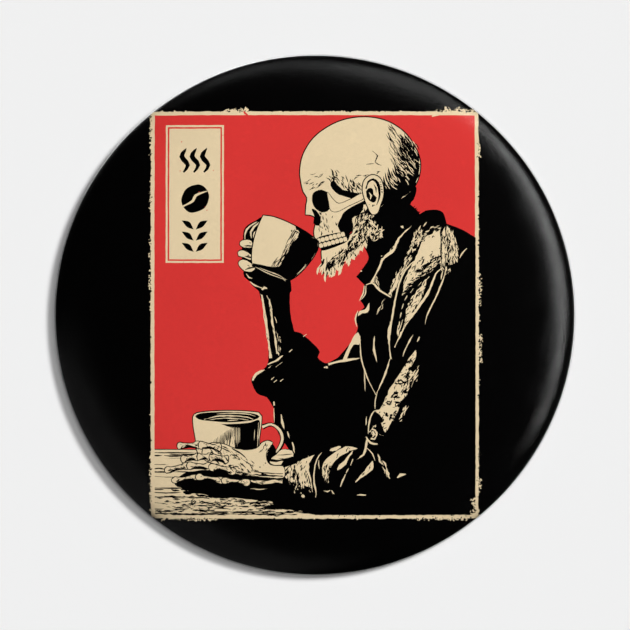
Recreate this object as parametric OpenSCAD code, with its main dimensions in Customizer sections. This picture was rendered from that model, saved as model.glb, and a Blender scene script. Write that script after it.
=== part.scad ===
// Round domed pinback badge: a printed sheet under clear film, wrapped over a steel shell, with a
// riveted bar pin and a rotating safety catch in the recess of its back plate.
// The shapes are drawn on the bench, face up: x to the right, y up the artwork, height h from the
// plane of the back rim. The whole badge is then stood upright as worn, with its face towards -Y.

/* [Badge] */
// Diameter of the badge, over the clear film
badge_d = 58; // [57:0.5:60]
// Height of the dome above the plane of the back rim
badge_h = 6.9; // [6.9:0.1:7.4]
// Radius of the curl from the side round to the back
rim_r = 1.4; // [1.3:0.1:1.5]
// Width of the flat ring that the badge rests on
rim_flat = 0.9; // [0.8:0.1:1]
// Radius of the hook where the edge turns inwards
hook_r = 0.9; // [0.85:0.05:0.95]

/* [Cover] */
// Thickness of the clear film
film_t = 0.12; // [0.08:0.02:0.16]
// Thickness of the printed paper sheet
paper_t = 0.15; // [0.12:0.01:0.18]
// Thickness of the steel front shell
shell_t = 0.3; // [0.24:0.02:0.32]
// Gap between the layers
layer_gap = 0.02; // [0.01:0.01:0.03]
// Height of the shell's hooked edge; the sheets inside it end a little lower
hook_top = 2; // [1.9:0.05:2.05]

/* [Back plate] */
// Thickness of the back plate
plate_t = 0.3; // [0.25:0.05:0.35]
// Depth of the recess, from the plane of the rim to its floor
recess_depth = 4.4; // [4.3:0.05:4.45]
// Radius of the flat floor of the recess
floor_r = 16.2; // [16:0.1:16.4]
// Slope of the wall of the recess
wall_angle = 50; // [45:1:60]
// Depth of the flat land round the recess
land_depth = 0.9; // [0.85:0.05:1]

/* [Pin] */
// Height of the pin's centre line above the middle of the badge
pin_up = 5; // [4.5:0.5:5]
// Length of the bar
bar_l = 28; // [27:0.5:28]
// Width of the bar
bar_w = 4; // [3.6:0.2:4]
// Thickness of the bar
bar_t = 0.5; // [0.4:0.1:0.5]
// Depth of the needle's centre line, from the plane of the rim
needle_depth = 2.2; // [2.2:0.05:2.25]
// Diameter of the needle
needle_d = 0.8; // [0.7:0.05:0.8]
// Length of the needle's ground point
point_l = 3.4; // [3:0.1:4]
// How far the hinge lies to the left of the middle
hinge_out = 12; // [11.5:0.1:12]
// How far the needle opens
open_angle = 110; // [90:5:110]
// Distance between the two rivets that hold the bar
rivet_pitch = 10; // [8:1:12]

/* [Catch] */
// Middle of the catch's housing, to the right of the middle of the badge
catch_out = 10.5; // [10.4:0.1:10.6]
// Length of the housing
housing_l = 2; // [1.8:0.1:2.2]
// Outer radius of the housing
housing_r = 1.85; // [1.8:0.05:1.9]
// Outer radius of the turning sleeve
sleeve_r = 1.4; // [1.38:0.01:1.4]
// Inner radius of the turning sleeve
sleeve_bore = 1; // [0.95:0.05:1]
// Width of the slots that let the needle in
slot_w = 1.1; // [1:0.05:1.2]
// Reach of the thumb tab from the sleeve's axis
tab_reach = 2.15; // [2:0.05:2.15]
// Turn between unlocked and locked
lock_turn = 120; // [110:5:120]

/* [Hidden] */
$fn = 96;

run = 0.05;          // running clearance of the turning parts
fix = 0.02;          // clearance of the riveted parts

badge_r = badge_d / 2;
hook_x = badge_r - rim_r - rim_flat;
dome_h = badge_h - rim_r;                // rise of the dome over the widest ring
paper_in = film_t + layer_gap;
shell_in = paper_in + paper_t + layer_gap;

// The back plate's bends, on the middle of the sheet
wall_bend = 0.9;
skirt_bend = plate_t * 1.5;
skirt_x = hook_x - hook_r - 0.04 - plate_t / 2;
flange_h = hook_top + 0.2 + plate_t / 2;
flange_w = 1;
floor_mid = recess_depth + plate_t / 2;
land_mid = land_depth + plate_t / 2;
wall_l = (floor_mid - land_mid - 2 * wall_bend * (1 - cos(wall_angle))) / sin(wall_angle);
land_start = floor_r + 2 * wall_bend * sin(wall_angle) + wall_l * cos(wall_angle);
land_l = skirt_x - skirt_bend - land_start;
skirt_l = flange_h - land_mid - 2 * skirt_bend;

needle_r = needle_d / 2;
bar_face = recess_depth - bar_t;         // the side of the bar that faces the garment
axis_to_bar = bar_face - needle_depth;

hinge_r = 0.5;
eye_r = 1;
eye_w = needle_d;
ear_gap = eye_w + 2 * run;
ear_t = 0.5;
ear_r = 1.05;
ear_out = ear_gap / 2 + ear_t;
hinge_head_r = 0.85;
hinge_head_t = 0.3;
tail_l = 1.75;
// The tail stops on the bar just past the end of the needle's travel
tail_rest = 270 - 36 - open_angle;
point_x = catch_out + 1.7;

rivet_r = 0.8;
rivet_head_r = 1.5;
rivet_head_t = 0.4;
clinch_r = 1.3;
clinch_t = 0.35;

collar_r = 1.6;
collar_l = 0.6;
collar_gap = 0.15;
collar_in = housing_l / 2 + collar_gap;
tab_w = 0.9;
tab_rest = -lock_turn / 2;

// Points along an arc in section, from step number first
function arc(c, r, a0, a1, steps, first = 1) =
    [for (k = [first:steps]) let (a = a0 + (a1 - a0) * k / steps) c + r * [cos(a), sin(a)]];

function reversed(list) = [for (k = [len(list) - 1:-1:0]) list[k]];

function turned(v, a) = [v.x * cos(a) - v.y * sin(a), v.x * sin(a) + v.y * cos(a)];

// One side of the wrapped cover in section, set in by d, from the axis to the edge of its hook.
// The dome is half of an ellipse, which stands on the widest ring
function cover_side(d, top) = concat(
    [for (a = [0:2.25:90]) [(badge_r - d) * sin(a), rim_r + (dome_h - d) * cos(a)]],
    arc([badge_r - rim_r, rim_r], rim_r - d, 0, -90, 10),
    arc([hook_x, hook_r], hook_r - d, -90, -180, 8, 0),
    [[hook_x - hook_r + d, top]]);

// One side of a bent sheet in section, off from its middle line, where every step is
// [straight length, bend radius, turn]
function sheet_side(p, a, off, steps, i = 0) =
    i == len(steps) ? [] :
    let (s = steps[i],
         n = [-sin(a), cos(a)],
         q = p + s[0] * [cos(a), sin(a)],
         c = q + sign(s[2]) * s[1] * n,
         bends = s[2] == 0 ? 0 : 6)
    concat([q + off * n],
           [for (k = [1:1:bends]) c + turned(q + off * n - c, s[2] * k / bends)],
           sheet_side(c + turned(q - c, s[2]), a + s[2], off, steps, i + 1));

module cover(d, t, top) {
    rotate_extrude()
        polygon(concat(cover_side(d, top), reversed(cover_side(d + t, top))));
}

// Bench to worn: the face turns to -Y and the artwork's top to +Z
module worn() {
    rotate([90, 0, 0]) children();
}

// A place on the pin's line, x along it, at the needle's depth
module on_pin(x) {
    translate([x, pin_up, needle_depth]) children();
}

// A cylinder along x from the origin
module rod(r, l) {
    rotate([0, 90, 0]) cylinder(r = r, h = l);
}

// A cylinder along y, centred on the origin
module cross_rod(r, l) {
    rotate([90, 0, 0]) cylinder(r = r, h = l, center = true);
}

// A rivet head with a domed top, standing on h = 0
module domed_head(r, t) {
    sag = t * 0.6;
    cap_r = (r * r + sag * sag) / (2 * sag);
    rotate_extrude()
        polygon(concat([[0, 0], [r, 0]],
                       arc([0, t - cap_r], cap_r, 90 - asin(r / cap_r), 90, 8, 0)));
}

module rivet_places() {
    for (s = [-1, 1]) translate([s * rivet_pitch / 2, pin_up, 0]) children();
}

// Gap that lets the needle into the catch, towards the garment, along l from the origin
module needle_slot(l) {
    translate([0, -slot_w / 2, -3]) cube([l, slot_w, 3]);
}

module clear_film() {
    color([0.88, 0.92, 0.95, 0.3]) worn() cover(0, film_t, hook_top - 0.4);
}

module printed_sheet() {
    color([0.07, 0.06, 0.06]) worn() cover(paper_in, paper_t, hook_top - 0.2);
}

module front_shell() {
    color([0.72, 0.73, 0.74]) worn() cover(shell_in, shell_t, hook_top);
}

// The pan-shaped back, whose flange sits over the shell's hooked edge
module back_plate() {
    steps = [[floor_r, wall_bend, -wall_angle],
             [wall_l, wall_bend, wall_angle],
             [land_l, skirt_bend, 90],
             [skirt_l, skirt_bend, -90],
             [flange_w, 0, 0]];
    start = [0, floor_mid];
    half = [0, plate_t / 2];
    color([0.76, 0.76, 0.75]) worn() difference() {
        rotate_extrude()
            polygon(concat([start + half], sheet_side(start, 0, plate_t / 2, steps),
                           reversed(sheet_side(start, 0, -plate_t / 2, steps)), [start - half]));
        rivet_places() cylinder(r = rivet_r + fix, h = 10);
    }
}

// The bar with its two hinge ears and the open housing of the catch
module pin_bar() {
    color([0.78, 0.78, 0.76]) worn() difference() {
        union() {
            translate([0, pin_up, bar_face]) linear_extrude(bar_t) {
                square([bar_l - bar_w, bar_w], center = true);
                for (s = [-1, 1]) translate([s * (bar_l - bar_w) / 2, 0]) circle(bar_w / 2);
            }
            for (s = [-1, 1]) on_pin(-hinge_out) translate([0, s * (ear_gap + ear_t) / 2, 0]) {
                cross_rod(ear_r, ear_t);
                translate([-ear_r, -ear_t / 2, 0]) cube([2 * ear_r, ear_t, axis_to_bar + bar_t / 2]);
            }
            on_pin(catch_out - housing_l / 2) {
                rod(housing_r, housing_l);
                translate([0, -housing_r * 0.8, 0])
                    cube([housing_l, housing_r * 1.6, axis_to_bar + bar_t / 2]);
            }
        }
        rivet_places() cylinder(r = rivet_r + fix, h = 10);
        on_pin(-hinge_out) cross_rod(hinge_r + fix, 10);
        on_pin(catch_out - housing_l) {
            rod(sleeve_r + run, 2 * housing_l);
            needle_slot(2 * housing_l);
        }
    }
}

// Two rivets: a domed head on the bar, a shank through bar and plate, and a clinched end inside
module bar_rivets() {
    color([0.82, 0.81, 0.78]) worn() rivet_places() {
        translate([0, 0, bar_face]) mirror([0, 0, 1]) domed_head(rivet_head_r, rivet_head_t);
        translate([0, 0, bar_face]) cylinder(r = rivet_r, h = bar_t + plate_t);
        translate([0, 0, recess_depth + plate_t]) domed_head(clinch_r, clinch_t);
    }
}

module hinge_rivet() {
    color([0.82, 0.81, 0.78]) worn() on_pin(-hinge_out) {
        cross_rod(hinge_r, 2 * ear_out);
        for (s = [-1, 1]) rotate([-90 * s, 0, 0]) translate([0, 0, ear_out])
            domed_head(hinge_head_r, hinge_head_t);
    }
}

// The needle with its eye and stop tail, closed
module needle() {
    shank_l = point_x + hinge_out - point_l;
    color([0.83, 0.84, 0.85]) worn() on_pin(-hinge_out) difference() {
        union() {
            cross_rod(eye_r, eye_w);
            rod(needle_r, shank_l);
            translate([shank_l, 0, 0]) rotate([0, 90, 0])
                cylinder(r1 = needle_r, r2 = 0.03, h = point_l);
            rotate([0, tail_rest, 0]) rod(needle_r, tail_l);
        }
        cross_rod(hinge_r + run, 5);
    }
}

// The sleeve that turns in the housing, with a collar at each end and a thumb tab, unlocked
module safety_catch() {
    sleeve_l = 2 * (collar_in + collar_l);
    color([0.8, 0.8, 0.78]) worn() on_pin(catch_out) difference() {
        union() {
            translate([-sleeve_l / 2, 0, 0]) rod(sleeve_r, sleeve_l);
            for (x = [-collar_in - collar_l, collar_in]) translate([x, 0, 0]) rod(collar_r, collar_l);
            rotate([tab_rest, 0, 0]) translate([collar_in, 0, -tab_reach + tab_w / 2]) {
                rod(tab_w / 2, collar_l);
                translate([0, -tab_w / 2, 0]) cube([collar_l, tab_w, tab_reach - tab_w]);
            }
        }
        translate([-sleeve_l, 0, 0]) {
            rod(sleeve_bore, 2 * sleeve_l);
            needle_slot(2 * sleeve_l);
        }
    }
}

clear_film();
printed_sheet();
front_shell();
back_plate();
pin_bar();
bar_rivets();
hinge_rivet();
needle();
safety_catch();
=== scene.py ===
import math
import random

import bpy
import numpy
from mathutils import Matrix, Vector, geometry


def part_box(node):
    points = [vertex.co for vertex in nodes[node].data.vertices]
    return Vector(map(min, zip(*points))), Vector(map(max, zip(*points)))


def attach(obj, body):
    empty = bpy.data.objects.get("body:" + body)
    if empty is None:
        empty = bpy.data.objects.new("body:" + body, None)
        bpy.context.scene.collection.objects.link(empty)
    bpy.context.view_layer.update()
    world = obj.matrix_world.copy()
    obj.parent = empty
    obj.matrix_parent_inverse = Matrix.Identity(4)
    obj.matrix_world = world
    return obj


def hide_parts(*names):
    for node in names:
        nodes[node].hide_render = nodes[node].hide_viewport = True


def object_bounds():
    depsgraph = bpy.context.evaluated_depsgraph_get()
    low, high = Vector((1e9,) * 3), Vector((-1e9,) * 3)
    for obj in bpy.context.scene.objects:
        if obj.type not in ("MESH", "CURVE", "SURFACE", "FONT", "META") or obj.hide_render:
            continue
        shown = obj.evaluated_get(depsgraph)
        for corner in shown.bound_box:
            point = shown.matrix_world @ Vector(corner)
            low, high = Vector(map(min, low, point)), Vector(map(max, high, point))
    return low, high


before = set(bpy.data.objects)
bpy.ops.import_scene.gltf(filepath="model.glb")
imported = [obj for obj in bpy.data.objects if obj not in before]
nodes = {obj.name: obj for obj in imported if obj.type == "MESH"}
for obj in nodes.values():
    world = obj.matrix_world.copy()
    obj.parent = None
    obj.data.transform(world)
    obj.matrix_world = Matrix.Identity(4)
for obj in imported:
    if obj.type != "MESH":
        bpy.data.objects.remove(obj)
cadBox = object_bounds()
mm = 0.001

# The round badge: its cover is drawn in mm, r from the axis and h up from the plane of the back rim
filmLow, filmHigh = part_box("clear_film")
cover = {
    "radius": filmHigh.x / mm,
    "height": -filmLow.y / mm,
    "rim": 1.4,               # radius of the bend from the widest ring to the back
    "flat": 0.9,              # width of the ring that the badge rests on
    "hook": 0.9,              # radius of the turned-in edge
    "film": {"setIn": 0, "thickness": 0.12, "top": 1.6},
    "sheet": {"setIn": 0.14, "thickness": 0.15, "top": 1.8},
}

black, red, tan = 0, 1, 2
printShapes = []                                # painted in this order, later over earlier


def smoothLine(points, closed=False, step=0.35):
    # a spline through the points; a doubled point makes a corner
    count = len(points)
    out = []
    for k in range(count if closed else count - 1):
        a, b = points[k], points[(k + 1) % count]
        length = math.dist(a, b)
        if length < 1e-6:
            continue
        before = points[k - 1] if closed or k > 0 else a
        after = points[(k + 2) % count] if closed or k + 2 < count else b

        def slope(p, q, mid):
            span = math.dist(p, mid) + math.dist(mid, q)
            return ((q[0] - p[0]) / span * length, (q[1] - p[1]) / span * length)

        chord = (b[0] - a[0], b[1] - a[1])
        ma = chord if math.dist(before, a) < 1e-6 else slope(before, b, a)
        mb = chord if math.dist(after, b) < 1e-6 else slope(a, after, b)
        pieces = max(1, round(length / step))
        for j in range(pieces):
            t = j / pieces
            h = (2 * t**3 - 3 * t**2 + 1, t**3 - 2 * t**2 + t, 3 * t**2 - 2 * t**3, t**3 - t**2)
            out.append(tuple(h[0] * a[i] + h[1] * ma[i] + h[2] * b[i] + h[3] * mb[i] for i in (0, 1)))
    if not closed:
        out.append(tuple(points[-1]))
    return out


def straightLine(points, step=0.5):
    # points at even steps round an outline with straight sides
    out = []
    for a, b in zip(points, points[1:] + points[:1]):
        pieces = max(1, round(math.dist(a, b) / step))
        for j in range(pieces):
            out.append((a[0] + (b[0] - a[0]) * j / pieces, a[1] + (b[1] - a[1]) * j / pieces))
    return out


def sideways(line, closed):
    # unit normals to the left of a line
    count = len(line)
    out = []
    for k in range(count):
        p = line[k - 1] if closed or k > 0 else line[0]
        q = line[(k + 1) % count] if closed or k + 1 < count else line[-1]
        dx, dy = q[0] - p[0], q[1] - p[1]
        size = math.hypot(dx, dy) or 1
        out.append((-dy / size, dx / size))
    return out


def outwards(outline):
    turn = sum(a[0] * b[1] - b[0] * a[1] for a, b in zip(outline, outline[1:] + outline[:1]))
    side = -1 if turn > 0 else 1
    return [(n[0] * side, n[1] * side) for n in sideways(outline, True)]


def grown(outline, by, rough=0, rng=None):
    return [(p[0] + n[0] * (by + (rng.uniform(-rough, rough) if rough else 0)),
             p[1] + n[1] * (by + (rng.uniform(-rough, rough) if rough else 0)))
            for p, n in zip(outline, outwards(outline))]


printPlan = {"scale": 0.99, "up": 0.075}        # how the whole drawing sits on the badge


def paint(colour, outline):
    k, up = printPlan["scale"], printPlan["up"]
    printShapes.append((colour, [(x * k, y * k + up) for x, y in outline]))


def fill(colour, points, line=0, rough=0, seed=1, step=0.35, sharp=False):
    # a filled shape, with an ink line round it where line isn't 0
    rng = random.Random(seed)
    outline = straightLine(points, step) if sharp else smoothLine(points, True, step)
    if line:
        paint(black, grown(outline, line))
    paint(colour, grown(outline, 0, rough, rng) if rough else outline)


def brush(colour, points, width, ends=(0, 0), rough=0, seed=1, step=0.4, swell=0.6):
    # one stroke of a brush along a spline; ends are the widths kept at its two ends, as fractions
    rng = random.Random(seed)
    line = smoothLine(points, False, step)
    sides = sideways(line, False)
    last = len(line) - 1
    left, right = [], []
    for k, (p, n) in enumerate(zip(line, sides)):
        t = k / max(1, last)
        body = math.sin(math.pi * t) ** swell if 0 < t < 1 else 0
        size = max(body, ends[0] * (1 - t) ** 2, ends[1] * t**2, 0.06) * width / 2
        a, b = (size + rng.uniform(-rough, rough) for _ in "ab")
        left.append((p[0] + n[0] * a, p[1] + n[1] * a))
        right.append((p[0] - n[0] * b, p[1] - n[1] * b))
    paint(colour, left + right[::-1])


def along(line, t):
    # the point at fraction t of a line
    spans = [math.dist(a, b) for a, b in zip(line, line[1:])]
    want = t * sum(spans)
    for a, b, s in zip(line, line[1:], spans):
        if want <= s or s == spans[-1] and b == line[-1]:
            f = min(1, want / s) if s else 0
            return (a[0] + (b[0] - a[0]) * f, a[1] + (b[1] - a[1]) * f)
        want -= s
    return line[-1]


def hatch(colour, start, end, count, width, reach=(0.55, 1), bow=0, spread=0.25, seed=1, ends=(0.5, 0)):
    # tapered strokes from one guide line towards another
    rng = random.Random(seed)
    a, b = smoothLine(start), smoothLine(end)
    for k in range(count):
        t = (k + 0.5 + rng.uniform(-spread, spread)) / count
        p, q = along(a, t), along(b, t)
        f = rng.uniform(*reach)
        q = (p[0] + (q[0] - p[0]) * f, p[1] + (q[1] - p[1]) * f)
        mid = ((p[0] + q[0]) / 2 - (q[1] - p[1]) * bow, (p[1] + q[1]) / 2 + (q[0] - p[0]) * bow)
        brush(colour, [p, mid, q], width * rng.uniform(0.6, 1.25), ends, seed=rng.random())


def specks(colour, box, count, size, seed):
    # small uneven spots strewn over a box
    rng = random.Random(seed)
    for _ in range(count):
        x, y = rng.uniform(box[0], box[2]), rng.uniform(box[1], box[3])
        r, corners = size * rng.uniform(0.4, 1), rng.randint(5, 7)
        speck = []
        for k in range(corners):
            a = 2 * math.pi * k / corners
            speck.append((x + r * rng.uniform(0.6, 1.3) * math.cos(a),
                          y + r * rng.uniform(0.5, 1) * math.sin(a)))
        paint(colour, speck)


def holds(outline, x, y):
    # whether a point lies inside an outline
    odd = False
    for (x0, y0), (x1, y1) in zip(outline, outline[1:] + outline[:1]):
        if (y0 > y) != (y1 > y) and x < x0 + (x1 - x0) * (y - y0) / (y1 - y0):
            odd = not odd
    return odd


def scatter(colour, points, count, length, width, lean, seed=1, sway=18, ends=(0.4, 0)):
    # short crooked strokes strewn over an area, leaning one way
    rng = random.Random(seed)
    area = smoothLine(points, True, 0.5)
    xs, ys = [p[0] for p in area], [p[1] for p in area]
    while count:
        x, y = rng.uniform(min(xs), max(xs)), rng.uniform(min(ys), max(ys))
        if not holds(area, x, y):
            continue
        count -= 1
        a = math.radians(lean + rng.uniform(-sway, sway))
        reach = length * rng.uniform(0.35, 1) / 2
        dx, dy = math.cos(a) * reach, math.sin(a) * reach
        kink = rng.uniform(-0.3, 0.3)
        brush(colour, [(x - dx, y - dy), (x - dy * kink, y + dx * kink), (x + dx, y + dy)],
              width * rng.uniform(0.4, 1.2), ends, width * 0.08, rng.random(), 0.25)


# The drawing's frame: a worn tan line round a red panel
frameArt = {
    "left": -18.4, "right": 18.34, "top": 22.74, "bottom": -22.9, "line": 0.42,
    "step": 0.3,                                # between the points of its edge
    "bites": 0.4,                               # the share of those points with a nick or a fleck
    # worn stretches of the line: the box each one covers, and how thickly it is strewn
    "worn": [
        (13.4, 22.6, 18.3, 22.95, 1.9), (14.6, 22.8, 17.6, 23.25, 0.7), (-10.2, 22.65, -7.4, 22.95, 1.6),
        (-8.4, 22.9, -7.6, 23.1, 1.0), (18.2, 17.4, 18.5, 19.2, 1.6), (18.2, 1.0, 18.6, 4.6, 1.2),
        (18.2, -5.4, 18.7, -2.2, 1.6), (18.2, -16.2, 18.55, -15.5, 1.6), (18.1, -19.6, 18.6, -18.2, 1.4),
        (17.2, -22.3, 18.4, -20.2, 1.4), (13.2, -22.7, 17.8, -22.2, 1.1), (10.8, -23.05, 17.6, -22.75, 0.9),
        (1.4, -22.7, 4.6, -22.45, 0.8), (6.2, -22.7, 7.6, -22.4, 1.0), (-17.6, -23.12, -11.0, -22.8, 0.9),
        (-18.55, -22.4, -18.25, -15.4, 0.9), (-18.52, 11.5, -18.25, 14.4, 0.9),
        (-18.52, 17.8, -18.3, 22.3, 0.7), (-18.6, 2.6, -18.3, 8.4, 0.5),
    ],
}


def boxCorners(box, inset=0):
    left, right = box["left"] + inset, box["right"] - inset
    bottom, top = box["bottom"] + inset, box["top"] - inset
    return [(left, bottom), (right, bottom), (right, top), (left, top)]


def drawFrame():
    f = frameArt
    rng = random.Random(4)
    outer = straightLine(boxCorners(f), f["step"])
    wavy = []
    for k, (p, n) in enumerate(zip(outer, outwards(outer))):
        push = 0.035 * math.sin(k * 0.9) * math.sin(k * 0.23) + rng.uniform(-0.02, 0.02)
        wavy.append((p[0] + n[0] * push, p[1] + n[1] * push))
    paint(tan, wavy)
    paint(red, grown(straightLine(boxCorners(f, f["line"]), 0.6), 0, 0.02, rng))
    # splashes off the worn line, and bites out of it
    for k, (x0, y0, x1, y1, thick) in enumerate(f["worn"]):
        corners = [(x0, y0), (x1, y0), (x1, y1), (x0, y1)]
        corners = [c for c in corners for _ in "ab"]
        long = max(x1 - x0, y1 - y0)
        scatter(tan, corners, round(10 * thick * long), 0.4, 0.15, 45, k, 80, (0.8, 0.3))
        scatter(black, corners, round(2.5 * long), 0.26, 0.11, 45, k + 40, 80, (0.8, 0.3))
    brush(red, [(-8.0, 22.75), (-7.8, 22.5), (-7.5, 22.3)], 0.2, (0.6, 0.3), 0.03, 5)
    brush(tan, [(13.1, 22.2), (13.5, 22.3), (14.2, 22.5)], 0.22, (0.5, 0.5), 0.03, 6)


def drawWear():
    # bites and flecks all along the line, and a rubbed inner corner
    f = frameArt
    edge = straightLine(boxCorners(f), f["step"])
    rng = random.Random(7)
    for (x, y), (nx, ny) in zip(edge, outwards(edge)):
        if rng.random() < f["bites"]:
            out, ink = (0.06, black) if rng.random() < 0.6 else (0.03, tan)
            x, y = x + nx * out, y + ny * out
            specks(ink, (x - 0.06, y - 0.06, x + 0.06, y + 0.06), 1, 0.2 if ink == black else 0.13,
                   rng.random())
    scatter(tan, [(18.0, -20.2), (18.0, -22.5), (16.8, -22.5), (17.6, -21.7), (17.2, -20.9)], 22, 0.5, 0.2,
            20, 233, 80)


def drawTable():
    # boards lit at the left, lost in shadow at the right
    rng = random.Random(11)
    fill(tan, [(-18.0, -22.52), (2.5, -22.52), (2.5, -15.1), (-18.0, -15.1)], sharp=True)
    brush(black, [(-17.97, -15.12), (-12, -15.14), (-2, -15.1)], 0.11, (1, 1))
    edge, y = -17.97, -15.5
    while y > -22.3:                            # the grain, in broken lines
        x = edge if rng.random() < 0.6 else rng.uniform(-17.5, -14)
        deep = rng.uniform(0.05, 0.2)
        while x < 2:
            run = rng.uniform(0.8, 5.0)
            wave = rng.uniform(-0.09, 0.09)
            line = [(x, y), (x + run * 0.4, y + wave), (x + run, y - wave * 0.5)]
            ends = (0.7 if x == edge else 0.2, 0.05)
            brush(black, line, deep * rng.uniform(0.6, 1.4), ends, 0.02, rng.random())
            x += run + rng.choice((-0.5, 0.2, 0.9, 2.5))
        y -= rng.choice((0.16, 0.34, 0.5, 0.66))
    brush(black, [(-17.95, -22.34), (-14, -22.42), (-11.5, -22.36), (-8.3, -22.38)], 0.2, (0.9, 0.3), 0.05,
          18)
    brush(black, [(-8.6, -22.42), (-5, -22.36), (-2, -22.42)], 0.2, (0.4, 0.5), 0.05, 19)
    scatter(black, [(-17.8, -20.6), (-13, -20.4), (-5, -21.0), (-3, -22.2), (-17.8, -22.3)], 120, 1.1, 0.15,
            0, 12, 9, (0.3, 0.1))
    scatter(black, [(-14.5, -21.0), (-11, -20.8), (-7, -21.2), (-8, -21.9), (-13.5, -21.8)], 46, 0.5, 0.16,
            0, 13, 60, (0.5, 0.3))
    scatter(tan, [(-17.6, -20.8), (-12, -20.6), (-5, -21.1), (-5, -21.9), (-17.6, -22.0)], 70, 1.2, 0.13, 0,
            14, 7, (0.3, 0.1))
    fill(black, [(-15.6, -18.3), (-15.7, -19.1), (-14.6, -19.6), (-13.9, -19.95), (-12.3, -20.2),
                 (-11.4, -20.6), (-9.1, -20.55), (-6.8, -20.8), (-4.8, -21.0), (-4.7, -21.3), (-5.9, -21.5),
                 (-4.4, -21.8), (-3.1, -21.9), (-3.4, -22.15), (-1.4, -22.3), (1.0, -22.49), (1.0, -22.49),
                 (17.98, -22.49), (17.98, -22.49), (17.98, -12), (17.98, -12), (-2, -15), (-2, -15),
                 (-3, -17.6)], 0, 0.05)
    scatter(black, [(-15.4, -19.2), (-11, -20.4), (-5, -21.1), (-4.2, -21.5), (-8, -21.1), (-13, -20.5),
                    (-15.9, -19.6)], 40, 1.0, 0.2, -8, 15, 10, (0.4, 0.1))
    scatter(black, [(-6.2, -20.9), (-3.6, -21.2), (-3.0, -22.3), (-6.5, -22.3)], 26, 1.4, 0.16, 0, 16, 5,
            (0.3, 0.1))
    scatter(tan, [(-4.6, -21.9), (-1.2, -22.1), (-1.4, -22.4), (-5, -22.3)], 12, 1.3, 0.08, 0, 17, 5,
            (0.3, 0.1))


# A tall label with plain marks
labelArt = {"left": -16.72, "right": -10.2, "top": 21.2, "bottom": 5.75, "line": 0.22, "gap": 0.17}


def drawLabel():
    a = labelArt
    for inset, colour in ((0, tan), (a["line"], red), (a["line"] + a["gap"], tan)):
        fill(colour, boxCorners(a, inset), 0, 0.015, 7, 0.6, True)
    mid = (a["left"] + a["right"]) / 2
    # three curls of steam, a bean, and three pairs of leaves
    for dx in (-1.15, 0, 1.15):
        brush(black, [(mid + dx - 0.12, 15.9), (mid + dx + 0.38, 16.7), (mid + dx - 0.3, 17.7),
                      (mid + dx + 0.2, 18.6)], 0.58, (0.35, 0.1), 0.02, 3 + dx)
    fill(black, [(mid - 1.5, 12.6), (mid - 0.9, 14.1), (mid + 0.7, 14.5), (mid + 1.6, 13.4),
                 (mid + 1.1, 11.9), (mid - 0.6, 11.4)], 0, 0.015, 5)
    brush(tan, [(mid - 1.3, 12.1), (mid - 0.2, 12.7), (mid + 0.1, 13.3), (mid + 1.4, 13.8)], 0.3, (0.6, 0.3),
          0, 8)
    for k in range(3):
        y = 10.0 - k * 1.25
        for s in (-1, 1):
            fill(black, [(mid + s * 0.12, y - 0.5), (mid + s * 0.12, y - 0.5), (mid + s * 0.85, y - 0.25),
                         (mid + s * 1.45, y + 0.5), (mid + s * 1.45, y + 0.5), (mid + s * 0.6, y + 0.35)], 0,
                 0.01, k, 0.25)
    specks(red, (a["left"] + 0.8, 6.4, a["right"] - 0.8, 20.4), 6, 0.09, 21)
    specks(red, (a["left"], 5.7, a["right"], 6.1), 4, 0.07, 22)
    specks(red, (a["right"] - 0.35, 6, a["right"] - 0.1, 20.8), 6, 0.07, 23)


# The figure's dark coat, and what is lit on it
coatArt = {
    "outline": [(17.98, -22.49), (17.98, -22.49), (17.98, 8.6), (17.98, 8.6), (16.4, 9.5), (14.75, 10.15),
                (14.75, 10.15), (14.3, 11.4), (13.6, 11.7), (12.4, 11.6), (11.7, 11.2), (11.7, 11.2),
                (10.7, 12.2), (8, 13), (5.4, 10), (5.5, 7.6), (6.0, 6.4), (5.6, 5.5), (4.6, 4.2), (4.6, 4.2),
                (5.5, 3.3), (5.5, 3.3), (5.1, 1.5), (5.1, 1.5), (5.5, 0.8), (4.7, 0.1), (4.6, -0.8),
                (4.8, -1.5), (4.1, -3.0), (2.5, -4.9), (2.5, -4.9), (1.2, -5.45), (0.3, -4.8), (0.55, -4.2),
                (-0.4, -3.1), (-1.6, -2.1), (-2.3, -1.9), (-2.3, -1.9), (-2.65, -0.5), (-2.8, 1.0),
                (-2.8, 2.2), (-2.8, 4.0), (-2.8, 4.0), (-5.8, 4.6), (-7.2, 3.6), (-6.3, 2.6), (-6.3, 2.6),
                (-5.75, 0.6), (-5.35, -2.2), (-5.2, -5.0), (-5.5, -5.9), (-7.0, -7.0), (-7.1, -7.6),
                (-6.4, -8.9), (-5.4, -9.3), (-4.6, -10.5), (-4.6, -10.5), (-4.55, -12.2), (-3.7, -13.9),
                (-2.6, -15.6), (-2.6, -15.6), (0, -22.49), (0, -22.49)],
}


def drawForearm():
    brush(tan, [(-5.98, 2.4), (-5.7, 0.5), (-5.35, -1.9), (-4.95, -4.9)], 0.3, (0.8, 0.9), 0.04, 2)
    brush(tan, [(-5.45, 2.3), (-5.05, 1.2), (-4.9, 0.0), (-4.6, -1.9), (-4.2, -4.4)], 0.2, (0.3, 0.6), 0.07,
          3)
    brush(tan, [(-5.1, 1.7), (-4.95, 0.9), (-4.85, 0.2)], 0.26, (0.1, 0.1), 0.06, 270)
    scatter(black, [(-5.7, 1.0), (-4.9, 1.0), (-4.0, -4.5), (-5.0, -4.7)], 30, 0.7, 0.07, 100, 271, 8)
    scatter(tan, [(-4.5, 0.6), (-4.2, -0.2), (-3.8, -3.8), (-4.1, -4.4), (-4.5, -2)], 12, 0.8, 0.13, 100, 5,
            10)


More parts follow.
